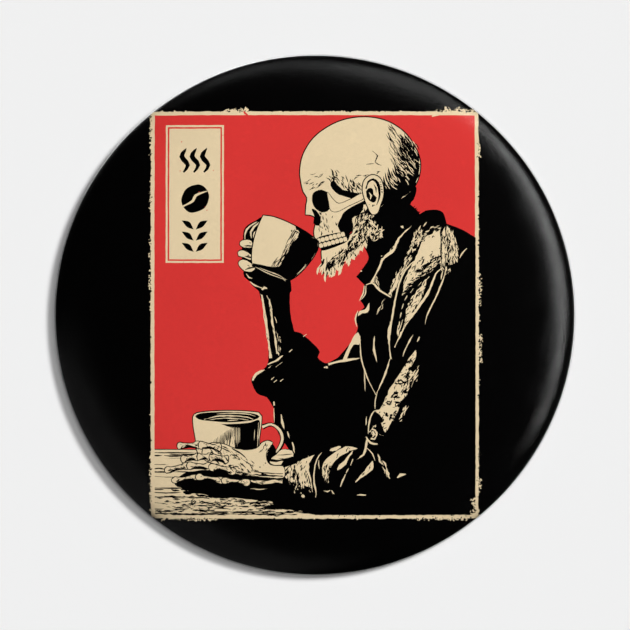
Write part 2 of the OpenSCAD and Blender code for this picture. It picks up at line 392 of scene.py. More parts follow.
def drawElbow():
    # cuff of the raised sleeve, and the elbow
    brush(tan, [(-5.3, -5.6), (-4.4, -5.2), (-3.6, -4.6)], 0.24, (0.3, 0.2), 0.04, 12)
    brush(tan, [(-7.0, -7.4), (-6.6, -6.7), (-5.6, -6.2)], 0.34, (0.5, 0.1), 0.03, 13)
    for k, (x, y) in enumerate([(-5.2, -6.0), (-4.4, -5.9), (-4.0, -5.6), (-4.9, -7.3), (-4.6, -7.6),
                                (-3.9, -7.5), (-2.9, -4.2), (-1.3, -2.5)]):
        brush(tan, [(x, y), (x + 0.35, y + 0.28)], 0.18, (0.5, 0.2), 0.03, 30 + k)
    brush(tan, [(-4.6, -9.75), (-4.55, -10.2)], 0.28, (0.6, 0.6), 0.03, 41)
    brush(tan, [(-4.6, -10.5), (-4.58, -11.3), (-4.55, -12.1)], 0.1, (0.5, 0.3), 0.01, 42)
    brush(tan, [(-3.75, -11.2), (-3.65, -12.1), (-3.4, -12.9)], 0.25, (0.5, 0.1), 0.05, 43)
    brush(tan, [(-3.1, -13.1), (-2.85, -13.9)], 0.18, (0.2, 0.2), 0.04, 243)
    brush(tan, [(-2.55, -14.3), (-2.4, -14.9), (-2.3, -15.5)], 0.2, (0.3, 0.1), 0.04, 244)


def drawFrontEdge():
    brush(tan, [(1.5, -5.6), (2.8, -5.25), (5.0, -4.9)], 0.3, (0.9, 0.2), 0.02, 44)
    specks(tan, (1.0, -6.0, 1.3, -5.9), 2, 0.25, 45)
    fill(tan, [(4.8, -2.0), (5.1, -2.9), (4.9, -3.4), (4.3, -3.4), (3.4, -5.2), (3.1, -5.1), (4.0, -3.1),
               (4.5, -2.2)], 0, 0.03, 46)
    brush(tan, [(4.8, 0.4), (4.5, -0.5), (4.7, -1.4)], 0.18, (0.4, 0.4), 0.01, 47)
    fill(tan, [(5.0, 0.4), (5.6, 0.55), (6.1, 1.3), (6.1, 0.8), (5.9, 0.2), (5.3, 0.1), (4.8, -0.2)], 0,
         0.03, 48)
    brush(tan, [(5.5, 3.2), (5.4, 2.4), (4.95, 1.5)], 0.16, (0.6, 0.2), 0, 49)


def drawCollar():
    brush(tan, [(10.8, 9.9), (9.4, 8.5), (8.8, 7.2), (7.7, 6.3), (7.0, 4.9), (6.3, 3.5)], 0.26, (0.1, 0.8),
          0.05, 50)
    scatter(tan, [(8.2, 7.0), (8.9, 7.6), (9.4, 8.4), (9.0, 8.2), (8.2, 6.6)], 9, 0.6, 0.12, 50, 150)
    brush(tan, [(5.7, 3.3), (6.4, 3.5), (7.2, 2.7), (8.5, 1.9)], 0.2, (0.5, 0.7), 0.03, 51)
    scatter(tan, [(6.3, 3.7), (6.9, 4.3), (7.2, 3.0), (6.6, 3.3)], 9, 0.8, 0.09, 105, 52, 8)
    brush(tan, [(5.7, 3.2), (5.6, 2.2), (5.1, 1.6)], 0.14, (0.6, 0.2), 0.01, 49)
    specks(tan, (5.0, 4.5, 5.2, 4.9), 2, 0.12, 151)
    specks(tan, (9.3, 9.7, 9.8, 10.1), 3, 0.17, 152)
    specks(tan, (7.2, 6.2, 7.5, 6.6), 2, 0.12, 153)
    brush(tan, [(12.5, 10.3), (12.1, 9.8)], 0.14, (0.5, 0.3), 0.02, 154)
    band = [(11.3, 9.9), (12.0, 9.3), (11.7, 8.0), (11.0, 6.9), (10.5, 5.6), (9.6, 4.4), (8.5, 2.0),
            (8.1, 2.3), (9.0, 4.3), (9.8, 5.6), (10.4, 7.0), (10.9, 8.2)]
    scatter(tan, band, 90, 0.75, 0.16, 66, 53, 28)
    scatter(black, band, 40, 0.5, 0.1, 60, 155, 40)
    brush(tan, [(9.4, 4.6), (8.9, 3.2), (8.3, 2.2)], 0.34, (0.2, 0.9), 0.06, 156)
    brush(tan, [(12.1, 6.6), (10.7, 5.6), (9.7, 4.2), (9.1, 2.2), (8.6, -0.6), (8.3, -3.2), (8.5, -5.0)],
          0.2, (0.1, 0.8), 0.025, 54)
    brush(tan, [(10.9, 5.0), (10.2, 4.2), (9.9, 3.4)], 0.12, (0.1, 0.3), 0.02, 157)
    brush(tan, [(8.45, -0.8), (8.2, -2.2), (8.3, -3.6)], 0.22, (0.2, 0.2), 0.04, 158)
    brush(tan, [(8.4, -5.0), (7.8, -6.8), (6.9, -8.8)], 0.19, (0.5, 0.2), 0.04, 55)
    brush(tan, [(6.95, -8.7), (6.75, -9.6), (6.7, -10.6)], 0.12, (0.4, 0.3), 0.02, 272)
    brush(tan, [(5.0, -2.4), (5.2, -5.0), (5.9, -7.2), (6.8, -9.0)], 0.16, (0.6, 0.5), 0.02, 56)
    brush(tan, [(5.5, -6.2), (5.6, -8.6)], 0.12, (0.2, 0.2), 0.02, 57)
    brush(tan, [(6.65, -2.4), (6.6, -4.0), (6.95, -5.4)], 0.22, (0.1, 0.1), 0.04, 58)
    scatter(tan, [(7.7, 1.6), (7.5, 0.4), (6.9, -0.4), (7.0, 0.4)], 8, 0.9, 0.11, 64, 59, 8)


def drawShoulder():
    # worn, and split by its seam
    shoulder = [(12.3, 8.6), (13.2, 9.0), (14.05, 9.5), (14.05, 9.5), (14.1, 5.5), (14.1, 5.5), (13.7, 5.5),
                (12.8, 4.6), (11.3, 3.9), (10.6, 3.0), (9.7, 2.1), (10.1, 3.6), (10.5, 4.9), (11.2, 6.2),
                (11.7, 7.4)]
    fill(tan, shoulder, 0, 0.09, 60)
    scatter(black, [(13.9, 6.6), (12.9, 6.0), (11.9, 5.4), (11.0, 4.2), (9.9, 2.3), (10.6, 2.6), (11.6, 3.6),
                    (12.9, 4.4), (14.1, 5.3)], 120, 0.8, 0.17, 38, 61, 26)
    scatter(black, [(13.9, 6.9), (12.6, 6.7), (11.5, 6.0), (10.6, 4.6), (11.3, 4.4), (12.4, 5.2),
                    (13.9, 6.0)], 34, 0.6, 0.13, 50, 160, 30)
    scatter(black, shoulder, 12, 0.4, 0.12, 20, 161, 60)
    scatter(tan, [(11.2, 8.1), (12.4, 9.3), (14.1, 10.1), (13.9, 9.2), (12.2, 8.4)], 26, 0.6, 0.14, 28, 64,
            22)
    right = [(14.25, 9.6), (15.4, 9.3), (15.9, 7.8), (15.8, 5.6), (14.9, 5.8), (14.25, 5.3)]
    scatter(tan, right, 120, 1.0, 0.17, 94, 62, 20)
    scatter(black, right, 34, 0.8, 0.12, 88, 63, 22)
    scatter(tan, [(15.4, 8.6), (16.1, 7.6), (16.0, 5.4), (15.6, 5.4)], 10, 0.5, 0.13, 70, 162, 40)
    brush(black, [(14.15, 10.0), (14.1, 8.0), (14.2, 5.2)], 0.13, (1, 1), 0.02, 163)


def drawUpperSleeve():
    brush(tan, [(14.3, 5.3), (13.5, 4.5), (12.7, 2.5), (11.4, 0.6), (10.1, -1.2), (8.9, -3.7)], 0.3,
          (0.2, 0.3), 0.04, 65)
    patch = [(12.5, 4.0), (11.7, 3.1), (10.9, 2.0), (10.3, 0.9), (10.1, -0.6), (9.5, -2.2), (10.2, -1.0),
             (11.2, 0.6), (11.9, 1.9), (12.3, 3.0)]
    fill(tan, patch, 0, 0.07, 164)
    scatter(black, patch, 44, 0.7, 0.15, 58, 66, 24)
    for k, (x, y) in enumerate([(12.8, 4.2), (11.9, 3.6), (11.0, 2.9), (10.3, 2.1), (9.9, 1.2), (9.65, 0.2),
                                (9.45, -0.8), (9.35, -1.7)]):
        brush(tan, [(x, y), (x - 0.42 + 0.05 * k, y - 0.4 - 0.05 * k)], 0.13, (0.6, 0.3), 0.03, 165 + k)
    brush(tan, [(9.3, -1.2), (9.2, -2.2), (9.5, -1.6), (9.8, -0.6)], 0.14, (0.4, 0.2), 0.02, 67)
    brush(tan, [(14.7, 5.2), (14.4, 4.1), (13.5, 1.9), (12.5, -0.2), (12.3, -1.1)], 0.18, (0.5, 0.2), 0.03,
          68)
    brush(tan, [(14.3, 4.9), (14.1, 3.9)], 0.15, (0.4, 0.1), 0.03, 69)
    scatter(tan, [(15.1, 5.6), (15.3, 4.6), (14.6, 4.4), (14.3, 5.2)], 8, 0.5, 0.12, 75, 173, 20)
    brush(tan, [(17.0, 7.4), (16.5, 6.9), (16.2, 6.3)], 0.16, (0.4, 0.2), 0.03, 70)
    brush(tan, [(11.0, -2.3), (10.4, -3.3), (9.8, -4.7)], 0.17, (0.2, 0.2), 0.04, 71)
    brush(tan, [(11.7, -2.5), (11.4, -3.1)], 0.17, (0.5, 0.2), 0.03, 72)


def drawLowerSleeve():
    # its lit length, blotched with wear
    lit = [(11.3, -4.0), (11.2, -5.1), (10.6, -6.2), (11.0, -6.7), (10.6, -7.9), (10.3, -9.0), (9.6, -9.8),
           (9.3, -10.8), (8.6, -12.1), (7.85, -13.2), (7.4, -12.2), (7.5, -11.5), (6.7, -10.9), (7.3, -10.6),
           (8.4, -8.3), (9.0, -7.3), (10.0, -5.8), (10.9, -4.4)]
    fill(tan, lit, 0, 0.1, 73)
    for k, (x, y, w) in enumerate([(9.6, -7.55, 0.55), (9.1, -8.9, 0.5), (10.6, -6.9, 0.45),
                                   (8.3, -9.9, 0.35), (9.3, -9.9, 0.5), (7.3, -11.6, 0.45),
                                   (10.6, -5.3, 0.4), (8.6, -11.4, 0.4),
                                   (10.0, -8.5, 0.4), (7.9, -11.2, 0.25)]):
        scatter(black, [(x - w, y - 0.22), (x + w * 0.8, y - 0.3), (x + w, y + 0.2), (x - w * 0.6, y + 0.3)],
                7, w * 1.3, 0.26, 25, 174 + k, 60)
    scatter(black, lit, 60, 0.5, 0.13, 35, 74, 60)
    scatter(black, [(10.9, -4.7), (10.9, -8.3), (9.6, -11.2), (8.4, -13.0), (9.0, -10.6), (9.9, -8.0),
                    (10.4, -6.0)], 46, 0.8, 0.18, 60, 194, 22)
    scatter(tan, [(11.9, -5.6), (11.4, -8.0), (10.9, -8.2), (11.2, -6.0)], 9, 0.9, 0.13, 62, 75, 12)
    scatter(tan, [(10.6, -9.7), (10.0, -11.2), (9.4, -12.2), (9.7, -10.8)], 16, 0.8, 0.15, 58, 76, 16)


def drawSleeveStrap():
    # with its button at the elbow
    brush(tan, [(7.3, -10.75), (6.6, -10.85), (6.2, -11.6), (6.05, -12.4), (5.95, -13.4)], 0.16, (0.9, 0.4),
          0.04, 77)
    brush(tan, [(5.75, -11.4), (5.7, -12.4)], 0.13, (0.3, 0.2), 0.03, 195)
    scatter(tan, [(6.2, -12.9), (6.9, -12.9), (6.8, -12.3), (6.4, -12.3)], 5, 0.4, 0.12, 20, 196, 60)
    brush(tan, [(6.1, -13.2), (6.4, -12.85), (6.8, -13.1), (6.85, -13.6), (6.6, -13.95), (6.25, -13.85)],
          0.2, (0.5, 0.9), 0.05, 78, 0.12)
    brush(tan, [(6.25, -13.4), (6.45, -13.15), (6.6, -13.4), (6.5, -13.7)], 0.2, (0.3, 0.8), 0.05, 79, 0.1)
    specks(tan, (6.4, -13.55, 6.6, -13.35), 3, 0.1, 80)
    brush(tan, [(7.2, -13.45), (7.7, -13.6)], 0.12, (0.5, 0.2), 0.03, 197)
    brush(tan, [(5.7, -13.7), (6.2, -14.4), (7.0, -14.5)], 0.24, (0.4, 0.4), 0.04, 81)
    brush(tan, [(5.9, -13.8), (5.65, -14.9), (5.4, -15.7), (4.6, -16.3)], 0.24, (0.4, 0.1), 0.06, 82)
    brush(tan, [(5.75, -14.9), (6.45, -15.6), (6.7, -16.4)], 0.16, (0.3, 0.2), 0.03, 83)
    brush(tan, [(4.25, -16.2), (3.95, -16.9)], 0.16, (0.3, 0.2), 0.04, 84)
    brush(tan, [(3.8, -17.2), (3.45, -17.8)], 0.12, (0.3, 0.2), 0.03, 245)
    brush(tan, [(3.4, -17.9), (3.1, -18.6), (2.85, -19.3)], 0.18, (0.3, 0.2), 0.04, 246)
    fill(tan, [(6.45, -16.4), (6.6, -17.1), (5.9, -17.8), (5.1, -18.4), (4.5, -18.85), (5.1, -18.0),
               (5.6, -17.4), (6.0, -16.9)], 0, 0.07, 85)
    scatter(black, [(6.3, -16.7), (6.2, -17.3), (5.2, -18.2), (5.6, -17.3)], 10, 0.5, 0.1, 48, 247, 20)
    scatter(tan, [(7.1, -15.9), (7.9, -17.9), (8.4, -18.2), (7.6, -16.4)], 10, 1.0, 0.18, 112, 86, 10)
    brush(tan, [(9.2, -18.3), (9.6, -18.0), (10.2, -17.9)], 0.34, (0.6, 0.2), 0.08, 87)


def drawSleeveFolds():
    # where the sleeve lies on the table
    fold = [(4.8, -15.0), (4.8, -15.0), (3.8, -14.8), (3.0, -14.95), (2.1, -15.5), (1.2, -16.3),
            (0.85, -17.2), (0.75, -18.0), (1.1, -18.7), (1.5, -18.9), (1.6, -17.6), (2.1, -16.6),
            (3.0, -15.75), (3.9, -15.3)]
    fill(tan, fold, 0, 0.07, 88)
    scatter(black, [(0.7, -17.0), (1.9, -16.9), (1.7, -19.0), (0.6, -18.9)], 34, 0.9, 0.16, 84, 89, 14)
    scatter(black, fold, 16, 0.5, 0.1, 50, 248, 25)
    fill(tan, [(4.3, -15.2), (3.9, -15.6), (3.3, -16.3), (2.7, -16.9), (2.5, -17.5), (2.9, -17.3),
               (3.5, -16.75), (3.8, -16.1), (4.1, -15.6)], 0, 0.06, 90)
    fill(tan, [(1.6, -15.25), (2.2, -14.85), (2.9, -14.8), (2.4, -15.2)], 0, 0.05, 91, 0.2)
    brush(tan, [(0.45, -16.3), (0.42, -16.8), (0.5, -17.3)], 0.14, (0.3, 0.2), 0.04, 249)
    brush(tan, [(1.0, -19.75), (1.4, -19.85), (1.7, -19.7)], 0.16, (0.3, 0.2), 0.03, 92)
    brush(tan, [(1.85, -19.7), (2.0, -20.0), (2.2, -20.15)], 0.16, (0.3, 0.2), 0.04, 93)
    brush(tan, [(4.7, -20.25), (5.1, -20.2), (5.7, -20.25)], 0.2, (0.4, 0.4), 0.03, 94)


def drawFrayedCuff():
    fill(tan, [(-3.1, -17.3), (-2.2, -16.65), (-1.1, -16.1), (-0.1, -15.7), (-0.5, -16.4), (-0.75, -17.4),
               (-0.65, -18.6), (-0.35, -19.5), (-1.2, -19.2), (-2.0, -19.5), (-2.7, -19.2), (-3.3, -19.9),
               (-3.55, -18.9), (-3.5, -18.0)], 0.1, 0.1, 97)
    scatter(black, [(-3.6, -17.8), (-2.7, -17.2), (-2.1, -17.6), (-1.7, -19.8), (-3.5, -20.0)], 60, 1.0,
            0.24, 84, 98, 16)
    scatter(black, [(-3.0, -17.2), (-0.8, -16.2), (-0.4, -19.6), (-2.6, -19.6)], 60, 0.6, 0.16, 76, 99, 30)
    scatter(black, [(-3.6, -18.9), (-0.5, -18.9), (-0.3, -19.8), (-3.5, -20.1)], 36, 0.7, 0.2, 88, 250, 25)
    brush(tan, [(-3.0, -17.35), (-3.5, -17.9), (-3.65, -18.8), (-3.45, -19.9)], 0.16, (0.3, 0.3), 0.05, 251)
    brush(tan, [(-0.75, -15.8), (-0.9, -17.0), (-0.5, -18.5), (-0.3, -19.9)], 0.15, (0.3, 0.3), 0.04, 252)
    brush(tan, [(0.75, -15.45), (0.2, -16.2), (-0.1, -17.6), (-0.1, -18.9), (0.12, -19.8), (0.05, -20.5)],
          0.17, (0.2, 0.4), 0.04, 253)
    scatter(tan, [(-3.4, -19.4), (-0.6, -19.2), (-0.5, -20.0), (-3.2, -20.1)], 16, 0.4, 0.14, 90, 254, 30)
    specks(tan, (-1.35, -20.35, -1.3, -20.3), 1, 0.26, 100)


def drawCoat():
    fill(black, coatArt["outline"], 0, 0.02, 3)
    drawForearm()
    drawElbow()
    drawFrontEdge()
    drawCollar()
    drawShoulder()
    drawUpperSleeve()
    drawLowerSleeve()
    drawSleeveStrap()
    drawSleeveFolds()
    drawFrayedCuff()


# The raised mug, its handle and the fingers through it
fingertips = [                                  # each finger's outline, from the handle round its tip
    [(-7.0, 7.75), (-7.1, 8.2), (-7.9, 8.3), (-8.35, 8.1), (-8.4, 7.8), (-8.1, 7.55), (-7.6, 7.4),
     (-7.1, 7.5)],
    [(-6.95, 6.4), (-7.3, 6.75), (-7.9, 7.1), (-8.35, 7.15), (-8.62, 6.85), (-8.55, 6.55), (-8.0, 6.4),
     (-7.3, 6.1), (-7.0, 6.1)],
    [(-6.8, 5.35), (-7.2, 5.75), (-7.8, 6.05), (-8.3, 6.05), (-8.55, 5.75), (-8.35, 5.3), (-7.9, 4.9),
     (-7.3, 4.75), (-6.75, 5.05)],
]


def drawRaisedHand():
    fill(black, [(-7.9, 5.0), (-6.4, 5.3), (-3.2, 3.9), (-2.78, 3.9), (-2.78, 2.4), (-6.0, 2.2), (-6.5, 2.9),
                 (-7.2, 3.6), (-7.9, 4.2)], 0, 0.03, 101)
    # handle behind the fingers
    fill(black, [(-5.9, 10.9), (-6.6, 10.5), (-7.5, 10.0), (-8.0, 9.3), (-8.05, 8.0), (-8.2, 7.0),
                 (-8.0, 5.6), (-6.8, 5.4), (-6.8, 8.0)], 0, 0.03, 102)
    brush(tan, [(-6.5, 10.35), (-7.4, 9.75), (-7.8, 9.1), (-7.85, 8.4)], 0.2, (0.2, 0.4), 0.02, 103)
    brush(tan, [(-6.2, 10.3), (-6.8, 9.8), (-7.15, 9.2), (-7.1, 8.5)], 0.24, (0.4, 0.2), 0.03, 104)
    brush(tan, [(-6.45, 9.5), (-6.8, 9.1), (-6.9, 8.5)], 0.12, (0.3, 0.2), 0.02, 105)
    for k, tip in enumerate(fingertips):
        fill(tan, tip, 0.1, 0.03, 106 + k, 0.25)
        (x, y), (x1, y1) = tip[0], tip[-3]
        brush(black, [(x, y - 0.1), ((x + x1) / 2, (y + y1) / 2 + 0.05), (x1 + 0.1, y1 + 0.1)], 0.16,
              (0.6, 0.1), 0.04, 110 + k)
        scatter(black, [(x - 1.0, y + 0.2), (x, y + 0.2), (x, y - 0.3), (x - 1.0, y - 0.3)], 5, 0.35, 0.12,
                -20, 114 + k, 40)
    # wrist
    brush(tan, [(-7.7, 4.5), (-7.35, 4.1), (-7.0, 4.0)], 0.2, (0.3, 0.2), 0.04, 118)
    brush(tan, [(-7.3, 3.65), (-6.7, 3.2), (-5.9, 2.95)], 0.15, (0.3, 0.3), 0.04, 119)
    brush(tan, [(-5.95, 2.75), (-5.65, 3.0), (-5.35, 2.9)], 0.3, (0.5, 0.4), 0.05, 126)


def drawMugBody():
    fill(tan, [(-5.8, 11.05), (-5.8, 11.05), (-4.6, 10.87), (-2.8, 10.15), (-1.0, 9.15), (0.35, 8.15),
               (0.35, 8.15), (0.25, 7.25), (-0.65, 5.8), (-1.9, 4.45), (-2.9, 3.78), (-2.9, 3.78),
               (-5.0, 4.5), (-6.95, 5.45), (-6.95, 5.45), (-7.05, 6.2), (-6.95, 7.6), (-6.5, 9.4)], 0.12, 0,
         120)
    # its shaded side
    fill(black, [(-2.2, 9.85), (-1.0, 9.15), (0.35, 8.15), (0.35, 8.15), (0.25, 7.25), (-0.65, 5.8),
                 (-1.9, 4.45), (-2.9, 3.78), (-2.9, 3.78), (-5.0, 4.5), (-6.95, 5.45), (-6.95, 5.45),
                 (-6.95, 5.72), (-5.4, 5.42), (-4.05, 5.3), (-3.7, 5.85), (-3.15, 6.75), (-2.8, 7.6),
                 (-2.1, 8.4), (-1.75, 8.9), (-2.0, 9.3)], 0, 0.04, 121)
    lightEdge = [(-4.85, 5.4), (-4.0, 5.3), (-3.1, 6.9), (-2.3, 8.4), (-2.1, 9.3), (-2.6, 9.2), (-2.9, 8.2),
                 (-3.7, 7.0)]
    scatter(black, lightEdge, 34, 2.0, 0.085, 59, 122, 3)
    scatter(black, [(-2.7, 9.6), (-1.9, 9.3), (-1.7, 8.7), (-2.4, 8.6)], 12, 0.6, 0.14, 50, 268, 25)
    brush(tan, [(-2.3, 9.45), (-1.95, 9.35), (-1.75, 9.1)], 0.14, (0.3, 0.2), 0.03, 269)
    # base
    brush(tan, [(-6.7, 5.3), (-5.2, 4.55), (-3.6, 3.95), (-3.3, 3.75)], 0.11, (0.4, 0.5), 0.015, 123)
    brush(tan, [(-6.2, 5.2), (-4.9, 4.7), (-3.9, 4.3), (-3.3, 3.85)], 0.1, (0.2, 0.6), 0.015, 124)
    brush(tan, [(-1.0, 5.6), (-1.5, 4.95), (-2.0, 4.5)], 0.1, (0.3, 0.3), 0.01, 125)


# The mug on the table
def drawTableMug():
    brush(black, [(-5.9, -12.6), (-4.9, -12.3), (-3.9, -12.9), (-3.6, -14.0), (-4.2, -15.3), (-5.3, -16.2)],
          0.6, (1, 1), 0, 130)
    brush(tan, [(-5.9, -12.6), (-4.9, -12.3), (-3.95, -12.95), (-3.65, -14.0), (-4.2, -15.2), (-5.2, -16.0)],
          0.3, (1, 0.8), 0.01, 131)
    brush(black, [(-5.8, -12.75), (-4.9, -12.5), (-4.2, -12.95), (-3.9, -13.8)], 0.09, (0.3, 0.1), 0.02,
          260)
    fill(tan, [(-13.65, -11.5), (-13.35, -14.0), (-12.9, -15.6), (-6.4, -15.6), (-6.25, -14.0),
               (-5.97, -11.4), (-6.3, -11.0), (-9.8, -10.8), (-13.2, -11.05)], 0.11, 0, 132)
    # its shaded side
    fill(black, [(-10.5, -12.3), (-10.5, -12.3), (-8.8, -12.25), (-7.3, -12.1), (-6.2, -11.85),
                 (-6.3, -13.4), (-6.45, -15.6), (-8.9, -15.6), (-8.85, -13.6), (-9.1, -12.8), (-9.9, -12.5)],
         0, 0.02, 133)
    strokes = 22                                # shorter and lower towards the light
    for k in range(strokes):
        x = -8.8 - 2.9 * (k / (strokes - 1)) ** 1.2
        top = -12.5 - 1.9 * (k / (strokes - 1)) ** 1.5
        foot = top - 1.0 - 1.4 * ((k * 7) % 5) / 5
        brush(black, [(x, top), (x + 0.04, top - 0.9), (x - 0.02, foot)], 0.14 - 0.003 * k, (0.3, 0.3), 0.02,
              134 + k)
    hatch(tan, [(-9.4, -12.6), (-8.4, -12.7)], [(-9.4, -15.2), (-8.4, -15.2)], 8, 0.08, (0.5, 1), 0, 0.3,
          261, (0.5, 0.1))
    brush(tan, [(-6.75, -12.9), (-6.8, -14.1)], 0.08, (0.4, 0.3), 0.01, 140)
    brush(tan, [(-6.32, -12.1), (-6.45, -14.9)], 0.08, (0.5, 0.3), 0.02, 262)
    # rim and the drink
    fill(black, [(-13.4, -11.4), (-12.9, -11.1), (-11.2, -10.95), (-9.8, -10.92), (-8.0, -10.98),
                 (-6.7, -11.15), (-6.2, -11.45), (-6.8, -11.8), (-8.2, -12.0), (-9.8, -12.08),
                 (-11.6, -11.95), (-13.0, -11.75)], 0, 0, 141, 0.3)
    brush(tan, [(-11.0, -11.15), (-9.4, -11.06), (-7.6, -11.15), (-6.6, -11.4)], 0.12, (0.1, 0.3), 0.02,
          142)
    brush(tan, [(-12.4, -11.75), (-11.0, -11.42), (-9.4, -11.35), (-7.6, -11.5), (-6.9, -11.75)], 0.14,
          (0.2, 0.2), 0.03, 143)
    brush(tan, [(-11.8, -11.8), (-10.2, -11.62), (-8.4, -11.68), (-7.4, -11.85)], 0.1, (0.2, 0.2), 0.03,
          144)
    brush(tan, [(-9.8, -11.9), (-8.6, -11.8)], 0.08, (0.2, 0.2), 0.02, 263)


# The hand on the table: a bony finger is a chain of joints, from the knuckle out
fingers = [
    {"joints": [(-10.6, -14.95), (-12.9, -14.6), (-15.3, -14.72)], "size": 0.42},
    {"joints": [(-9.8, -16.3), (-11.7, -15.95), (-13.1, -15.95), (-14.9, -16.25)], "size": 0.44},
    {"joints": [(-9.0, -17.6), (-11.7, -17.05), (-14.2, -16.95), (-16.7, -17.5)], "size": 0.42},
    {"joints": [(-7.4, -18.85), (-10.3, -18.6), (-13.2, -18.2), (-15.9, -18.6)], "size": 0.36},
]


def drawBone(start, end, size, seed):
    # its outline runs along the bone by u and across it by v
    rng = random.Random(seed)
    length = math.dist(start, end)
    ux, uy = (end[0] - start[0]) / length, (end[1] - start[1]) / length

    def at(u, v):
        return (start[0] + ux * u * length - uy * v * size, start[1] + uy * u * length + ux * v * size)

    side = [(-0.03, 0.6), (0.06, 1.0), (0.16, 0.9), (0.3, 0.62), (0.55, 0.55), (0.78, 0.7), (0.9, 0.95),
            (1.0, 0.85), (1.05, 0.3)]
    rim = [(u, v * rng.uniform(0.85, 1.15)) for u, v in side]
    rim += [(u, -v * rng.uniform(0.85, 1.15)) for u, v in side[::-1]]
    fill(tan, [at(u, v) for u, v in rim], 0.1, 0.03, seed, 0.2)
    # shade under it and at the joints
    brush(black, [at(0.12, 0.75), at(0.5, 0.35), at(0.86, 0.8)], size * 0.7, (0.2, 0.2), 0.06, seed + 1)
    brush(black, [at(0.02, 0.1), at(0.1, -0.2), at(0.06, -0.6)], size * 0.25, (0.3, 0.1), 0.03, seed + 2)
    scatter(black, [at(0.1, 0.6), at(0.5, 0.5), at(0.9, 0.6), at(0.9, 0.1), at(0.1, 0.0)], round(4 * length),
            0.5, 0.12, 10, seed + 3, 50)
    scatter(black, [at(0.1, -0.2), at(0.9, -0.2), at(0.9, -0.7), at(0.1, -0.7)], round(2 * length), 0.35,
            0.08, 0, seed + 4, 50)


def drawHand():
    fill(black, [(-15.6, -18.6), (-14.0, -17.6), (-8, -17.4), (-3.6, -18.0), (-2.6, -19.6), (-2.6, -21.2),
                 (-6.0, -20.8), (-9.4, -20.5), (-12.2, -20.1), (-14.6, -19.4)], 0, 0.05, 150)
    # lit boards behind the wrist
    fill(tan, [(-4.9, -16.15), (-4.3, -15.7), (-3.7, -15.15), (-2.6, -15.3), (-2.4, -15.9), (-3.4, -16.1)],
         0, 0.05, 264)
    brush(black, [(-4.3, -15.75), (-3.2, -15.7), (-2.5, -15.6)], 0.09, (0.2, 0.2), 0.02, 265)
    fill(black, [(-5.3, -16.2), (-4.0, -16.25), (-2.3, -15.95), (-2.3, -16.6), (-3.4, -17.1), (-5.2, -17.0)],
         0, 0.04, 266)
    fill(tan, [(-5.1, -16.45), (-4.3, -16.5), (-3.5, -16.4), (-3.8, -16.8), (-4.7, -16.8)], 0, 0.05, 267)
    # back of the hand and thumb
    palm = [(-11.5, -14.42), (-10.2, -14.55), (-9.1, -15.0), (-7.6, -15.2), (-6.5, -15.0), (-5.95, -14.4),
            (-5.3, -14.15), (-4.75, -14.35), (-5.0, -14.8), (-5.4, -15.3), (-5.5, -15.9), (-5.3, -16.6),
            (-4.7, -16.95), (-3.6, -17.0), (-3.4, -17.6), (-3.6, -18.3), (-6.5, -18.1), (-8.3, -17.95),
            (-9.6, -17.6), (-11.1, -16.8), (-12.4, -16.2), (-12.6, -15.4), (-12.3, -14.8)]
    fill(tan, palm, 0.11, 0.04, 151)
    fill(black, [(-4.75, -14.5), (-4.35, -15.2), (-4.6, -15.8), (-5.3, -16.3), (-5.35, -15.6),
                 (-5.1, -15.0)], 0, 0.05, 152)
    for f, finger in enumerate(fingers):
        joints = finger["joints"]
        for k in range(len(joints) - 1, 0, -1):
            drawBone(joints[k - 1], joints[k], finger["size"] * (1.06 - 0.07 * k), 160 + f * 30 + k * 5)
    # the long bones under its skin, in broken lines
    brush(black, [(-11.2, -14.6), (-10.1, -15.1), (-9.4, -15.5)], 0.13, (0.2, 0.1), 0.03, 215)
    brush(black, [(-9.2, -15.6), (-8.4, -16.1)], 0.13, (0.2, 0.2), 0.03, 216)
    brush(black, [(-10.4, -14.75), (-9.7, -15.05)], 0.12, (0.3, 0.1), 0.03, 230)
    brush(black, [(-9.3, -15.0), (-8.3, -15.6), (-7.6, -16.2)], 0.13, (0.3, 0.1), 0.04, 231)
    brush(black, [(-7.2, -16.3), (-6.7, -16.8)], 0.12, (0.3, 0.1), 0.03, 232)
    brush(black, [(-8.2, -16.2), (-7.4, -16.7), (-6.9, -17.1)], 0.12, (0.2, 0.1), 0.03, 220)
    scatter(black, [(-11.6, -15.2), (-10.4, -15.2), (-7.0, -17.2), (-7.4, -17.8), (-9.6, -17.3),
                    (-11.8, -16.2)], 50, 0.7, 0.16, -32, 221, 40)
    scatter(black, [(-11.0, -15.0), (-9.4, -15.2), (-6.6, -17.0), (-7.2, -17.0), (-9.6, -15.9)], 22, 0.5,
            0.09, -38, 222, 30)
    scatter(black, [(-6.2, -14.7), (-5.5, -14.4), (-5.2, -14.7), (-5.7, -15.8), (-6.2, -15.6)], 10, 0.6, 0.1,
            65, 223, 25)
    scatter(black, [(-8.8, -17.5), (-6.8, -17.5), (-5.0, -17.9), (-6.6, -18.3), (-8.6, -18.1)], 18, 1.0,
            0.16, -9, 224, 8)
    brush(black, [(-7.2, -17.6), (-5.6, -17.75), (-3.6, -17.85)], 0.13, (0.2, 0.6), 0.03, 217)
    brush(black, [(-7.0, -17.9), (-5.4, -18.05), (-3.6, -18.1)], 0.2, (0.2, 0.8), 0.04, 218)
    brush(tan, [(-7.2, -18.65), (-5.6, -18.85), (-4.5, -18.7), (-3.65, -18.75)], 0.4, (0.3, 0.9), 0.05, 225)
    scatter(black, [(-7.0, -18.5), (-3.7, -18.6), (-3.7, -18.95), (-7.0, -18.9)], 14, 0.6, 0.1, -4, 226, 15)
    brush(tan, [(-7.2, -19.5), (-6.2, -19.6), (-5.4, -19.5)], 0.1, (0.2, 0.2), 0.03, 227)
    specks(black, (-6.6, -17.2, -5.4, -16.2), 3, 0.1, 219)


